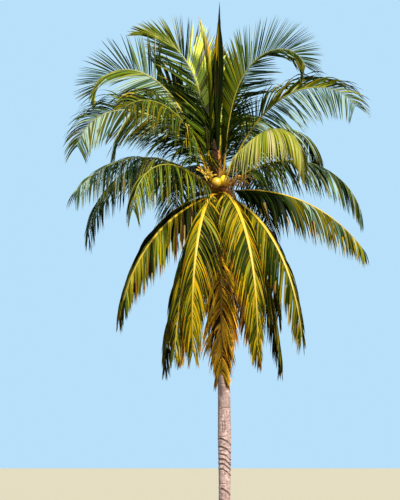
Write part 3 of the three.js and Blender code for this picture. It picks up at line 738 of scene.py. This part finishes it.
# For a frond, or for its tier. Stretches dealt mostly shade tones are painted shade, where the crown darkens
# its inside and its back
dressings = {
    "young_left": [
        # the young leaf's bright band includes a painted glow tone
        stretch(fromFoot, toTip, "yellow glowing pale gold amber cream", spread=0.4, wide=1.3, calm=0.6),
        stretch(fromFoot, 0.3, "shade deep deep green olive"),
        stretch(0.3, 0.48, "deep green fresh lime"),
    ],
    "young_right": [stretch(fromFoot, toTip, "deep green fresh green fresh lime", spread=1.5, wide=1.6)],
    "top_left": [
        # the fan's bright tones are painted glow of light through it
        stretch(0.12, 0.62, "pale glowing glowing glowing cream", hand=-1, wide=2.1, calm=0.8),
        stretch(0.72, toTip, "green fresh lime lime pale", spread=0.35, wide=1.5),
    ],
    "top_right": [
        stretch(fromFoot, 0.5, "green fresh green moss fresh", hand=1, wide=2.4, calm=0.7),
        stretch(0.5, toTip, hand=1, calm=0.5),
        stretch(0.58, toTip, "shade deep deep green olive", hand=-1, spread=0.85, wide=1.9),
        stretch(fromFoot, 0.55, "shade deep deep green sea fresh", hand=-1, spread=1.1, lift=-40),
    ],
    "upper_left": [
        stretch(0.62, toTip, "green fresh lime pale olive", hand=1, spread=0.35, wide=1.6),
        stretch(0.57, toTip, "shade deep deep green sea fresh", hand=-1, spread=1.25, droop=0.2),
        stretch(fromFoot, 0.6, "deep green sea mist fresh mist", hand=1, spread=1.2, droop=0.3, wide=1.3),
        # painted shade: the shadow side next to this rib
        stretch(fromFoot, 0.5, "shade shade shade deep deep green", hand=-1, spread=0.5, wide=1.7),
    ],
    "upper_right": [
        stretch(0.3, 0.75, "deep green olive lime yellow", hand=1, spread=0.6, wide=1.4),
        stretch(fromFoot, toTip, "deep green sea mist sea mist mist", hand=-1, spread=1.35, droop=0.5),
    ],
    "upper_near": [stretch(fromFoot, toTip, calm=-0.9, wide=1.2)],
    "middle_left": [
        stretch(0.25, toTip, "deep green olive sea mist mist", hand=1, spread=1.15, droop=0.3, wide=1.25),
    ],
    "middle_near": [
        stretch(fromFoot, 0.12, length=0.4),
        stretch(0.25, 0.55, "fresh lime pale lime pale cream", wide=1.6, calm=0.8),
        stretch(0.5, toTip, "lime pale lime pale cream", spread=0.4, wide=1.8, calm=0.8),
    ],
    "lower_right": [stretch(0.2, toTip, "shade deep green olive sea fresh mist", droop=0.7, wide=1.2)],
    "lower_left": [stretch(0.45, toTip, "deep green olive sea mist fresh mist", spread=1.2)],
    "level_right": [
        # painted shade near the heart
        stretch(fromFoot, 0.35, "shade shade deep deep green", wide=1.3),
        stretch(0.35, 0.9, "deep green olive sea moss mist mist"),
    ],
    # painted shade near the heart
    "drooping_left": [stretch(fromFoot, 0.3, "shade shade deep brown olive", wide=1.6)],
    "hanging_near_left": [
        stretch(fromFoot, 0.5, "shade deep olive moss deep gold fresh lime", hand=1, spread=1.15, droop=0.6),
        stretch(fromFoot, 0.5, "olive moss deep moss lime moss gold", hand=-1, wide=1.1, calm=0.4),
    ],
    "hanging_near_right": [
        stretch(
            fromFoot, 0.5, "deep olive deep moss gold olive lime yellow", hand=-1, spread=1.15, droop=0.6,
        ),
        stretch(fromFoot, 0.5, "deep olive moss yellow gold orange", hand=1),
    ],
    # painted shade near the heart
    "hanging_right": [stretch(fromFoot, 0.4, "shade deep brown olive rust", hand=1, wide=1.4)],
    # painted shade near the heart
    "hanging_left": [stretch(fromFoot, 0.4, "shade shade deep brown olive", wide=1.5)],
    "withered": [stretch(fromFoot, toTip, calm=-0.6, wide=1.6, spread=1.4)],
    "far_upper": [stretch(fromFoot, toTip, droop=0.6)],
    "far_middle": [stretch(fromFoot, toTip, "shade deep green sea green mist fresh", droop=0.5)],
    # painted shade inside the back of the crown
    "far_lower": [stretch(fromFoot, 0.6, "shade shade deep brown olive", wide=1.7)],
    # painted shade inside the back of the crown
    "far_hanging": [stretch(fromFoot, 0.45, "shade deep brown olive moss", wide=1.7)],
}


dealing = {
    "fade": 0.07,  # of a stretch into the next
    "paces": (5, 13, 29, 61),  # of the waves along a blade
    "drift": 0.38,  # how much they change the tones
    "clusters": 0.17,  # how much clusters differ
    "edges": (0.3, 0.7),  # how far a stretch holds where its tones begin
    "turnedEnds": (0.35, 0.95),  # from where an end has turned
}


def heldBy(patch, blade, hands):
    # how far each leaflet belongs to the stretch, from 0 to 1
    first, last = patch["span"]
    fade = dealing["fade"]
    held = smoothStep(blade, first - fade, first + fade) * (1 - smoothStep(blade, last - fade, last + fade))
    return held * (hands * patch["hand"] >= 0)


def dealtTones(palette, patches, shape, blade, hands, cluster):
    # a tone for each face: neighbours along the blade are alike, ends may have turned
    tones, ends, ended, speckle = palettes[palette]
    count = len(blade)
    phases = luck.uniform(0, fullTurn, 4)
    drift = sum(np.sin(blade * pace + phase + hands) for pace, phase in zip(dealing["paces"], phases)) / 4
    level = 0.5 + dealing["drift"] * drift
    level = level + luck.normal(0, dealing["clusters"], cluster.max() + 1)[cluster]
    level += luck.normal(0, speckle, count)

    def chosen(named):
        return np.clip(level * len(named), 0, len(named) - 1e-6).astype(int)

    dealt = tones.split()
    first = chosen(dealt)
    for patch in patches:
        named = (patch["tones"] or tones).split()
        here = heldBy(patch, blade, hands) > luck.uniform(*dealing["edges"], count)
        first = np.where(here, chosen(named) + len(dealt), first)
        dealt = dealt + named
    ends = ends.split()
    last = luck.integers(0, len(ends), count)
    turnsAt = np.where(luck.random(count) < ended, luck.uniform(*dealing["turnedEnds"], count), 2)
    used = sorted({side for tone in dealt + ends for side in (tone, leafTones[tone][1])})
    sides = np.array([[used.index(tone), used.index(leafTones[tone][1])] for tone in dealt + ends])
    # lower faces take the darker underside tone: painted shade beneath each leaflet
    paintedShadeUnderside = (shape["centres"][:, 1] < 0).astype(int)
    turned = shape["centres"][None, :, 2] > turnsAt[:, None]
    slots = np.where(turned, sides[len(dealt) + last[:, None], paintedShadeUnderside], sides[first[:, None], paintedShadeUnderside])
    return slots, [leafMaterial(tone) for tone in used]


def clustersOf(blade, hands):
    # leaflets of a cluster lean together, and cross towards its middle
    steps = np.cumsum(luck.uniform(*leaflet["clusterSteps"], len(blade)))
    cluster = 2 * np.floor(steps / (2 * leaflet["clustered"])).astype(int) + (hands > 0)
    members = np.maximum(np.bincount(cluster), 1)
    middle = (np.bincount(cluster, blade) / members)[cluster]
    shared = luck.normal(0, 1, (2, len(members)))[:, cluster]
    return cluster, middle, shared


def addLeaflets(frond, shape):
    rule = leaflet
    age = ageOf(frond)
    opened = min(age / growth["openedAge"], 1)
    old = smoothStep(age, *rule["oldAges"])
    petiole = petioleOf(frond)
    bladeLength = frond["length"] * (1 - petiole)
    pairs = round(rule["pairs"] * bladeLength * mixed(1, rule["oldPairs"], old))
    count = 2 * pairs
    shift = luck.uniform(-rule["stagger"], rule["stagger"], count)
    blade = np.clip(np.repeat((np.arange(pairs) + 0.5) / pairs, 2) + shift / pairs, 0, 1)
    hands = np.tile([1.0, -1.0], pairs)
    run = runOf(frond, mixed(petiole, 1, blade))
    spread = rule["firstSpread"] - rule["spreadLost"] * blade ** rule["spreadCurve"]
    spread = spread * mixed(mixed(*rule["foldedSpread"], blade), 1, opened)
    spread = spread * mixed(1, rule["oldSpread"], old)
    cluster, middle, shared = clustersOf(blade, hands)
    length = leafletLengths(blade) * luck.uniform(*rule["lengths"], count)
    droop = mixed(*rule["droop"], smoothStep(age, *rule["droopAges"])) * luck.uniform(*rule["droops"], count)
    tier = frond["name"].rsplit("_", 1)[0]
    patches = dressings.get(frond["name"], dressings.get(tier, []))
    traits = {"spread": spread, "droop": droop, "length": length, "wide": np.ones(count)}
    restless = np.ones(count)
    lifted = np.zeros(count)
    for patch in patches:
        held = heldBy(patch, blade, hands)
        for trait, value in traits.items():
            traits[trait] = value * mixed(1, patch.get(trait, 1), held)
        restless *= 1 - held * patch.get("calm", 0)
        lifted += held * patch.get("lift", 0)
    spread, droop, length, widened = traits.values()
    sway = mixed(*rule["sway"], age) * (shared[0] + rule["ownSway"] * luck.normal(0, 1, count))
    spread = np.radians(spread + sway * restless)
    spread += rule["clustering"] * restless * (blade - middle) * bladeLength / length
    lift = max(rule["youngLift"] - rule["liftLost"] * age, rule["lowestLift"])
    sway = rule["liftSway"][0] * shared[1] + luck.normal(0, rule["liftSway"][1], count)
    lift = np.radians(lift + lifted + sway * restless)
    heading = run["along"] * np.cos(spread)[:, None]
    heading += run["side"] * (hands * np.sin(spread) * np.cos(lift))[:, None]
    heading += run["above"] * (np.sin(spread) * np.sin(lift))[:, None]
    aside = hands * mixed(*rule["roots"], blade) * rule["rootShare"]
    root = run["centre"] + run["side"] * aside[:, None]
    fold = np.radians(mixed(*rule["folds"], opened) + luck.normal(0, rule["foldSway"], count))
    steady = np.minimum(restless, 1)
    tilt = hands * luck.normal(rule["tilt"][0], rule["tilt"][1] * steady)
    twist = hands * luck.normal(rule["twist"][0], (rule["twist"][1] + rule["oldTwist"] * age) * steady)
    halfWidth = rule["halfWidth"] * mixed(rule["narrowest"], 1, leafletLengths(blade) / growth["leaflet"])
    halfWidth *= widened * luck.uniform(*rule["widths"], count)
    halfWidth *= mixed(1, rule["oldWidth"], old)
    points = placeLeaflets(
        shape, root, heading, run["along"], run["above"], length, halfWidth, droop, fold, tilt, twist
    )
    slots, materials = dealtTones(frond["palette"], patches, shape, blade, hands, cluster)
    piece = addPiece("leaflets_" + frond["name"], [batchOf(shape, points, slots)], materials)
    node = "frond_" + frond["name"]
    nodes = [half for half in (node, node + "_outer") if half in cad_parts]
    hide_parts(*nodes)
    slotOf(frond)
    return count


def slotOf(frond):
    if frond["name"].startswith("withered"):
        return "straw_leaf"
    if frond["name"].startswith("young"):
        return "young_leaf"
    return "yellow_leaf" if frond["rise"] < 20 else "green_leaf"


# Ribs

rib = {
    "sides": 10,
    "rows": 52,
    "footRows": 13,
    "footShare": 0.12,
    "halfWidths": (0.06, 0.033, 0.006),  # at the foot, the blade's start and the tip
    "halfDepths": (0.027, 0.021, 0.005),
    "oldWidth": 1.5,
    "clasp": 0.055,
    "claspUntil": 0.075,
    "claspCurve": 1.4,
    "wrap": 0.16,
    "wrapReach": 0.15,
    "channel": 0.5,
    "channelUntil": 0.5,
    "faces": (0.8, 1.1),  # above and below
    "worn": "50411d",
    "stops": {
        "young_leaf": ((0.0, "5c420f"), (0.08, "877510"), (0.3, "8e8620"), (1.0, "7a7d22")),
        "green_leaf": ((0.0, "7a5010"), (0.09, "90710c"), (0.3, "8c7a1e"), (0.6, "68671c"), (1.0, "454d14")),
        "yellow_leaf": ((0.0, "6a3f08"), (0.06, "956d06"), (0.3, "957b08"), (0.7, "8a7310"), (1.0, "715c12")),
        "straw_leaf": ((0.0, "5a3210"), (0.1, "86560c"), (0.5, "8a6414"), (1.0, "6d4a16")),
    },
}


def ribMaterial(name, stops):
    # colours run along the rib, with streaks that follow it
    look = Look(name, Specular_IOR_Level=0.3)
    along = look.stored("along")
    around = look.stored("around")
    streaks = look.noise(look.combined(around * 3.0, along * 6.0, along * 0.5), 6, 5, 0.6)
    blotches = look.noise(look.places(), 7, 3)
    base = look.ramp(along + (blotches - 0.5) * 0.16, *stops)
    worn = look.tinted(look.within(streaks, 0.5, 0.75) * 0.55, base, rib["worn"])
    normal = look.bump(streaks, 0.35, 0.004)
    return look.finish(Base_Color=worn, Roughness=0.38 + streaks * 0.25, Normal=normal)


def ribSizes(sizes, petiole, blade):
    foot, start, tip = sizes
    return np.where(petiole < 1, mixed(foot, start, petiole), mixed(start, tip, blade))


def addRibs():
    shape = straightTube(rib["sides"], rib["rows"])
    footShares = np.linspace(0, rib["footShare"], rib["footRows"] + 1)
    bladeShares = np.linspace(rib["footShare"], 1, rib["rows"] - rib["footRows"] + 1)
    shares = np.concatenate([footShares, bladeShares[1:]])
    around = np.abs(angleOf(shape["points"])) / np.pi
    batches = {slot: [] for slot in rib["stops"]}

    def sections(flat, row):
        # rounded below, with a channel above where the rib is wide
        across, high = flat[:, 0], flat[:, 1]
        channel = rib["channel"] * np.clip(1 - shares[row] / rib["channelUntil"], 0, 1) * (1 - across ** 2)
        return across, np.where(high > 0, high * rib["faces"][0] - channel, high * rib["faces"][1])

    for frond in fronds:
        run = runOf(frond, shares)
        bare = petioleOf(frond)
        petiole = np.clip(shares / bare, 0, 1)
        blade = np.clip((shares - bare) / (1 - bare), 0, 1)
        halfWidth = ribSizes(rib["halfWidths"], petiole, blade)
        halfDepth = ribSizes(rib["halfDepths"], petiole, blade)
        halfWidth = halfWidth * mixed(1, rib["oldWidth"], smoothStep(ageOf(frond), *leaflet["oldAges"]))
        clasping = np.clip(1 - shares / rib["claspUntil"], 0, 1) ** rib["claspCurve"]
        halfWidth = halfWidth + rib["clasp"] * clasping
        points, row = bentTube(shape, run, halfWidth, halfDepth, sections)
        # the clasping foot wraps round the heart
        offset = np.minimum(np.abs(shape["points"][:, 0]) * halfWidth[row], rib["wrapReach"])
        wrapped = rib["wrap"] - np.sqrt(rib["wrap"] ** 2 - offset ** 2)
        points = points - run["outward"] * (wrapped * clasping[row] ** 0.5)[:, None]
        batch = batchOf(shape, points, along=shares[row], around=around + luck.uniform(0, 9))
        batches[slotOf(frond)].append(batch)
    for slot, group in batches.items():
        name = "ribs_" + slot.split("_")[0]
        piece = addPiece(name, group, [ribMaterial(name, rib["stops"][slot])])
    print("ribs:", len(fronds), "in", len(batches), "pieces")


# Heart and its fibre

heart = {
    "outline": ((7.15, 0.119), (7.3, 0.15), (7.72, 0.166), (8.05, 0.142), (8.33, 0.09), (8.55, 0.062)),
    "clear": 0.0005,  # of the trunk
    "sides": 72,
    "rings": 150,
    "wraps": 17,
    "wrapDepth": 0.007,
    "tongues": 120,
    "tongueFeet": (7.2, 8.2),
    "tongueLengths": (0.16, 0.42),
    "tongueWidths": (0.012, 0.034),
    "fibre": ((0.34, "281500"), (0.5, "744602"), (0.64, "b4780c")),
}


def sheathMaterial():
    look = Look("sheath_fibre")
    warp = look.noise(look.places((1, 1, 0.12)), 90, 4, 0.6)
    weft = look.noise(look.places((0.3, 0.3, 1)), 110, 3, 0.6)
    patches = look.noise(look.places(), 6, 4)
    weave = warp * 0.6 + weft * 0.4
    base = look.ramp(weave * 0.7 + patches * 0.3, *heart["fibre"])
    return look.finish(Base_Color=base, Roughness=0.9 - weave * 0.1, Normal=look.bump(weave, 0.8, 0.008))


def addHeart(leafShape):
    shape = straightTube(heart["sides"], heart["rings"])
    flat = shape["points"]
    bottom, top = heart["outline"][0][0], heart["outline"][-1][0]
    height = bottom + heart["clear"] + (top - bottom - heart["clear"]) * flat[:, 2]
    angle = angleOf(flat)
    radius = outlineRadius(heart["outline"], height, 0.04)
    for turn in range(heart["wraps"]):
        # the slanting edge of each old sheath
        level = bottom + (turn + 0.5) * (top - bottom) / heart["wraps"] + 0.07 * np.sin(angle + 2.4 * turn)
        away = height - level
        radius += heart["wrapDepth"] * np.exp(-np.clip(away, 0, None) / 0.03) * (away > 0) * (radius / 0.15)
    radius -= 0.004 + 0.003 * np.cos(24 * angle + 9 * np.sin(5 * height))
    points = roundAxis(radius, angle, height)
    # torn tongues of fibre that stand off the column
    count = heart["tongues"]
    foot = luck.uniform(*heart["tongueFeet"], count)
    outward, around = bearings(luck.uniform(0, fullTurn, count))
    reach = outlineRadius(heart["outline"], foot, 0.04) * 0.97
    root = outward * reach[:, None] + axisAt(foot)
    slant = luck.normal(0, 0.25, count)[:, None]
    heading = unit(upward + outward * luck.uniform(0.05, 0.35, count)[:, None] + around * slant)
    length = luck.uniform(*heart["tongueLengths"], count)
    halfWidth = luck.uniform(*heart["tongueWidths"], count)
    droop = luck.uniform(0.0, 0.5, count)
    fold = luck.normal(0, 0.3, count)
    tilt = luck.normal(0, 0.2, count)
    twist = luck.normal(0, 0.5, count)
    tongues = placeLeaflets(
        leafShape, root, heading, around, outward, length, halfWidth, droop, fold, tilt, twist
    )
    batches = [batchOf(shape, points), batchOf(leafShape, tongues)]
    piece = addPiece("heart_sheaths", batches, [sheathMaterial()])
    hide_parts("heart")
    print("heart: sheaths and fibre")


# The unopened leaf

spear = {
    "outline": (
        (8.5, 0.05), (8.55, 0.052), (9.2, 0.066), (9.9, 0.118), (10.5, 0.124), (10.95, 0.092),
        (11.35, 0.038), (11.8, 0.004),
    ),
    "core": {"sides": 14, "rows": 60, "share": 0.8, "short": 0.12},
    "leaflets": 170,
    "feet": (8.5, 10.9),
    "spiral": 2.39996,
    "lengths": (0.75, 1.15),
    "halfWidth": 0.017,
    "folded": (0.7, 0.9),  # what stays of the width, and what goes into depth
    "hug": (0.72, 1),
    "hugs": (0.9, 1.04),
    "frayed": 0.012,
    "wisp": 0.14,  # how far the closed tips pass the solid's
    "tones": ("shade", "deep", "olive", "brown", "gold"),
    # painted light: leaflets facing this way take lighter tones, as if sunlit
    "facing": math.radians(-150),  # where the leaflets are lightest
    # between these heights the sunlit side turns gold: a painted highlight
    "gilded": (10.1, 10.5),
}


def addSpear(leafShape):
    outline = spear["outline"]
    core = straightTube(spear["core"]["sides"], spear["core"]["rows"])
    height = mixed(outline[0][0], outline[-1][0] - spear["core"]["short"], core["points"][:, 2])
    radius = outlineRadius(outline, height, 0.08) * spear["core"]["share"]
    corePoints = roundAxis(radius, angleOf(core["points"]), height)
    count = spear["leaflets"]
    foot = np.linspace(*spear["feet"], count) + luck.uniform(-0.02, 0.02, count)
    turn = np.arange(count) * spear["spiral"] + luck.normal(0, 0.2, count)
    length = np.minimum(luck.uniform(*spear["lengths"], count), outline[-1][0] + spear["wisp"] - foot)
    shares = np.arange(leaflet["rows"] + 1) / leaflet["rows"]
    levels = foot[:, None] + length[:, None] * shares
    hug = mixed(*spear["hug"], smoothStep(shares, 0, 0.5))[None]
    hug = hug * luck.uniform(*spear["hugs"], count)[:, None]
    reach = outlineRadius(outline, levels, 0.05) * hug
    reach = reach + spear["frayed"] * smoothStep(shares, 0.75, 1) * luck.random(count)[:, None]
    outward, around = bearings(turn[:, None] + luck.normal(0, 0.25, count)[:, None] * shares)
    centre = outward * reach[..., None] + axisAt(levels)
    flat = leafShape["points"]
    row = np.rint(flat[:, 2] * leaflet["rows"]).astype(int)
    wide = np.interp(shares, *zip(*leaflet["outline"]))[row] * spear["halfWidth"]
    high = -np.abs(flat[:, 0]) * wide * spear["folded"][1] + np.minimum(flat[:, 1], 0) * leaflet["thick"]
    points = centre[:, row] + around[:, row] * (flat[:, 0] * wide * spear["folded"][0])[None, :, None]
    points = points + outward[:, row] * high[None, :, None]
    # painted light: tones follow how a leaflet faces the lit side, plus chance; the gold on that side is a
    # painted highlight
    facing = np.cos(turn - spear["facing"])
    paintedLightAndChance = facing * 0.5 + luck.normal(0, 0.25, count)
    gilded = (foot > spear["gilded"][0]) & (foot < spear["gilded"][1]) & (facing > 0.3)
    slots = np.select([gilded & (paintedLightAndChance > 0.45), gilded, paintedLightAndChance > 0.75, paintedLightAndChance > 0.3], [4, 2, 3, 1], 0)
    batches = [batchOf(core, corePoints), batchOf(leafShape, points, slots[:, None])]
    piece = addPiece("spear_leaflets", batches, [leafMaterial(tone) for tone in spear["tones"]])
    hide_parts("spear")
    print("spear:", count, "closed leaflets")


# Nuts

nuts = {
    "size": 0.12,
    "stretch": 1.08,
    "sepals": 6,
    "sepalReach": 0.62,
    "stalk": (0.026, 0.012),
    "stem": (0.013, 0.011),
    "stemRow": 7,  # of the stalk
    "stemRise": 0.03,
    "upright": 0.12,
    "husk": ((0.1, "6c6a10"), (0.4, "8f7612"), (0.75, "90700f"), (1.0, "744c12")),
    # a lighter copy of the husk: painted light for a nut that lies in shadow
    "paintedLightHusk": ((0.1, "a8a51c"), (0.4, "c8a820"), (0.75, "c8981c"), (1.0, "a8701c")),
    "marked": "513716",
    "cap": ("3c2f15", "5e4d20", "786832"),
    "bunches": {
        "nuts_near": {  # each place is out from the axis, across and up
            "run": growing(-76, 30, 60, 1, 0.33, 7.78),
            "places": ((0.345, -0.095, 0.02), (0.39, 0.085, 0.07)),
        },
        "nuts_far": {
            "run": growing(88, 20, 60, 1, 0.33, 7.65),
            "places": ((0.36, -0.095, 0.06), (0.36, 0.095, 0.04)),
        },
    },
}


def nutMaterial(name, stops):
    look = Look(name, Coat_Weight=0.1, Coat_Roughness=0.3, Specular_IOR_Level=0.35)
    cap = look.stored("cap")
    cloud = look.noise(look.places(), 9, 4)
    scratch = look.noise(look.places((1, 1, 0.3)), 60, 3, 0.7)
    base = look.ramp(cap + (cloud - 0.5) * 0.35, *stops)
    marked = look.tinted(look.within(scratch, 0.62, 0.72) * 0.6, base, nuts["marked"])
    normal = look.bump(scratch, 0.15, 0.002)
    return look.finish(Base_Color=marked, Roughness=0.36 + cloud * 0.2, Normal=normal)


def stalkMaterial(name, colours):
    look = Look(name)
    cloud = look.noise(look.places(), 26, 5, 0.6)
    fine = look.noise(look.places((1, 1, 0.3)), 160, 3)
    base = look.ramp(cloud * 0.7 + fine * 0.3, *zip(rampPlaces, colours))
    return look.finish(Base_Color=base, Roughness=0.6 + cloud * 0.2, Normal=look.bump(fine, 0.3, 0.002))


def ballShape():
    ball = bmesh.new()
    bmesh.ops.create_uvsphere(ball, u_segments=40, v_segments=26, radius=1)
    return shapeOf(ball)


def sepalShape():
    # a small domed scale: a thin slab, rounded and pointed at its free end
    slab = bmesh.new()
    bmesh.ops.create_grid(slab, x_segments=6, y_segments=6, size=1)
    bmesh.ops.solidify(slab, geom=slab.faces[:], thickness=0.12)
    bmesh.ops.recalc_face_normals(slab, faces=slab.faces[:])
    return shapeOf(slab)


def turnedTo(direction):
    # axes whose third is the direction
    third = direction / np.linalg.norm(direction)
    first = np.cross(third, [0.2, 0.1, 1])
    first = first / np.linalg.norm(first)
    return np.stack([first, np.cross(third, first), third])


def evenTube(shape, run, ends):
    # a round tube along a run, whose radius goes from one number to the other
    radii = np.linspace(*ends, len(run["centre"]))
    return bentTube(shape, run, radii, radii)[0]


def lineRun(line):
    # a run along a line of points
    course = unit(np.gradient(line, axis=0))
    side = unit(np.cross(course, [0.13, 0.21, 0.97]))
    return {"centre": line, "side": side, "above": np.cross(course, side)}


def bezierLine(start, bend, end, rows):
    share = np.linspace(0, 1, rows + 1)[:, None]
    return start * (1 - share) ** 2 + 2 * bend * share * (1 - share) + end * share ** 2


def nutPoints(ball):
    # three low ridges, and flattened ends
    polar = ball[:, 2]
    ridges = 0.025 * np.cos(3 * angleOf(ball)) * (1 - polar ** 2) - 0.03 * np.abs(polar) ** 6 - 0.015 * polar
    return ball * (nuts["size"] * (0.985 + ridges))[:, None] * np.array([1, 1, nuts["stretch"]])


def sepalPoints(flat, number):
    # one of the scales round the nut's top
    reach = (flat[:, 1] + 1) / 2
    polarAngle = nuts["sepalReach"] * reach
    width = 0.62 * np.sqrt(np.clip(1 - reach ** 3, 0, 1)) + 0.02
    spin = number * fullTurn / nuts["sepals"] + flat[:, 0] * width
    lifted = nuts["size"] * (1.0 + 0.05 * (number % 2) + 0.25 * np.abs(flat[:, 2]))
    lifted = lifted + 0.03 * nuts["size"] * reach
    out, level = np.sin(polarAngle), np.cos(polarAngle) * nuts["stretch"]
    return np.stack([out * np.cos(spin), out * np.sin(spin), level], axis=-1) * lifted[:, None]


def addNuts():
    ball, sepal, tube = ballShape(), sepalShape(), straightTube(10, 10)
    husk = nutMaterial("nut_husk", nuts["husk"])
    paintedLightCopy = nutMaterial("nut_husk_painted_light", nuts["paintedLightHusk"])
    cap = stalkMaterial("nut_cap", nuts["cap"])
    fromTop = np.clip((1 - ball["points"][:, 2]) / 2, 0, 1)

    def woody(shape, points):
        return batchOf(shape, points, 1, cap=np.zeros(len(shape["points"])))

    for name, bunch in nuts["bunches"].items():
        run = runOf(bunch["run"], np.linspace(0, 1, 11))
        outward, side = bearings(math.radians(bunch["run"]["azimuth"]))
        axis = np.array([centreAt(bunch["run"]["height"]), 0, bunch["run"]["height"]])
        batches = [woody(tube, evenTube(tube, run, nuts["stalk"]))]
        for out, across, rise in bunch["places"]:
            middle = axis + outward * out + side * across + upward * rise
            top = run["centre"][nuts["stemRow"]]
            axes = turnedTo(top - middle + upward * nuts["upright"])
            # nuts on this side take the lighter husk copy: painted light
            slot = 2 if across > 0 else 0
            batches.append(batchOf(ball, middle + nutPoints(ball["points"]) @ axes, slot, cap=fromTop))
            for number in range(nuts["sepals"]):
                batches.append(woody(sepal, middle + sepalPoints(sepal["points"], number) @ axes))
            end = middle + axes[2] * nuts["size"]
            stem = lineRun(bezierLine(top, (top + end) / 2 + upward * nuts["stemRise"], end, 10))
            batches.append(woody(tube, evenTube(tube, stem, nuts["stem"])))
        piece = addPiece("fruit_" + name, batches, [husk, cap, paintedLightCopy])
        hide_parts(name)
    print("nuts: two bunches")


# Flower stalks. Branchlets start from a share of the stalk, and lean up or down as much as upwards

flowers = {
    "flowers_right": {
        "run": growing(-30, 48, 50, 1, 0.7, 7.74),
        "stalk": ("9a5018", "c8802c", "dca052"),
        "bud": ("a8641a", "d09438", "e0b068"),
        "from": 0.12,
        "upwards": (-0.9, 0.5),
    },
    "flowers_left": {
        "run": growing(-124, 58, 50, 1.2, 0.64, 7.745),
        "stalk": ("7a5c0a", "a07e10", "b09428"),
        "bud": ("8c6a0a", "b08c10", "c0a430"),
        "from": 0.42,
        "upwards": (0.1, 1.3),
    },
}
flowerRule = {
    "branchlets": 34,
    "buds": 30,
    "stalk": (0.02, 0.006),
    "branchlet": (0.006, 0.003),
    "lengths": (0.22, 0.36),
    "sideways": (0.35, 1.15),
    "sag": 0.9,
    "wave": 0.01,
    "bareUntil": 0.12,
    "bud": 0.0105,
    "budSizes": (0.6, 1.15),
    "budForm": (0.75, 0.75, 1.1),
}


def budShape():
    bud = bmesh.new()
    bmesh.ops.create_icosphere(bud, subdivisions=1, radius=1)
    return shapeOf(bud)


def addFlowers():
    rule = flowerRule
    stalkTube, thinTube, bud = straightTube(10, 16), straightTube(5, 8), budShape()
    for name, kind in flowers.items():
        run = runOf(kind["run"], np.linspace(0, 1, 17))
        batches = [batchOf(stalkTube, evenTube(stalkTube, run, rule["stalk"]))]
        starts = runOf(kind["run"], np.linspace(kind["from"], 0.99, rule["branchlets"]))
        buds = []
        for number in range(rule["branchlets"]):
            side = starts["side"][number] * (1 if number % 2 else -1)
            heading = starts["along"][number] + side * luck.uniform(*rule["sideways"])
            heading = unit(heading + starts["above"][number] * luck.uniform(*kind["upwards"]))
            length = luck.uniform(*rule["lengths"])
            reach = np.linspace(0, length, 9)[:, None]
            wave = rule["wave"] * np.sin(reach * 30 + number) * np.cross(heading, upward)
            line = starts["centre"][number] + heading * reach - upward * reach ** 2 / rule["sag"] + wave
            thin = evenTube(thinTube, lineRun(line), rule["branchlet"])
            batches.append(batchOf(thinTube, thin))
            spots = np.linspace(rule["bareUntil"], 1, rule["buds"]) * 8
            along = np.stack([np.interp(spots, np.arange(9), line[:, axis]) for axis in range(3)], axis=-1)
            shift = unit(luck.normal(0, 1, (rule["buds"], 3))) * rule["bud"] * 0.8
            size = rule["bud"] * luck.uniform(*rule["budSizes"], (rule["buds"], 1, 1))
            buds.append((along + shift)[:, None] + bud["points"] * (size * np.array(rule["budForm"])))
        batches.append(batchOf(bud, np.concatenate(buds), 1))
        materials = [stalkMaterial(f"{name}_{part}", kind[part]) for part in ("stalk", "bud")]
        piece = addPiece("bloom_" + name, batches, materials)
        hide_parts(name)
    print("flowers: two stalks")


# Woody spathes: the widest half width, how each grows, and its colours

spathes = {
    "spathe_near": (0.084, growing(-104, 84, 6, 1, 0.96, 7.99), ("070301", "1c0c01", "4a2a08")),
    "spathe_left": (0.05, growing(-159, 5, 52, 1, 0.82, 7.598), ("14100c", "2c211a", "55483c")),
    "spathe_right": (0.058, growing(-52, 4, 60, 1, 0.76, 7.67), ("7a4420", "b0703e", "cf9a68")),
}
spatheForm = {
    "sides": 44,
    "rows": 40,
    "swell": (0.16, 0.98),  # the part of a half wave that the width follows
    "fullness": 0.8,
    "ridges": 15,
    "ridge": 0.05,
    "slit": 0.3,
    "slitDepth": 0.75,
}


def spatheMaterial(name, colours):
    look = Look("spathe_" + name, Specular_IOR_Level=0.15)
    along = look.stored("along")
    around = look.stored("around")
    grooves = look.noise(look.combined(around * 5.0, along * 1.4, 0.0), 7, 5, 0.65)
    cloud = look.noise(look.places(), 12, 4)
    base = look.ramp(grooves * 0.65 + cloud * 0.35, *zip(rampPlaces, colours))
    return look.finish(Base_Color=base, Roughness=0.7 + cloud * 0.2, Normal=look.bump(grooves, 0.7, 0.006))


def addSpathes():
    form = spatheForm
    shape = straightTube(form["sides"], form["rows"], pointed=True)
    shares = np.linspace(0, 1, form["rows"] + 1)
    turn = angleOf(shape["points"])

    def grooved(flat, row):
        # ridges run lengthwise, and the upper side gapes
        gape = smoothStep(shares[row], 0.1, 0.3) * (1 - smoothStep(shares[row], 0.85, 0.98))
        slit = hump(turn - np.pi / 2, form["slit"]) * gape
        factor = 1 + form["ridge"] * np.cos(form["ridges"] * turn) - form["slitDepth"] * slit
        return flat[:, 0] * factor, flat[:, 1] * factor

    for name, (widest, grows, colours) in spathes.items():
        radii = widest * np.sin(np.pi * mixed(*form["swell"], shares)) ** form["fullness"]
        points, row = bentTube(shape, runOf(grows, shares), radii, radii, grooved)
        batch = batchOf(shape, points, along=shares[row], around=np.abs(turn) / np.pi)
        piece = addPiece("wood_" + name, [batch], [spatheMaterial(name, colours)])
        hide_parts(name)
    print("spathes: three")


addStudio()
addFloor()
addTrunk()
leafShape = straightTube(4, leaflet["rows"], pointed=True)
addHeart(leafShape)
addSpear(leafShape)
addRibs()
addNuts()
addFlowers()
addSpathes()
print("leaflets:", sum(addLeaflets(frond, leafShape) for frond in fronds))
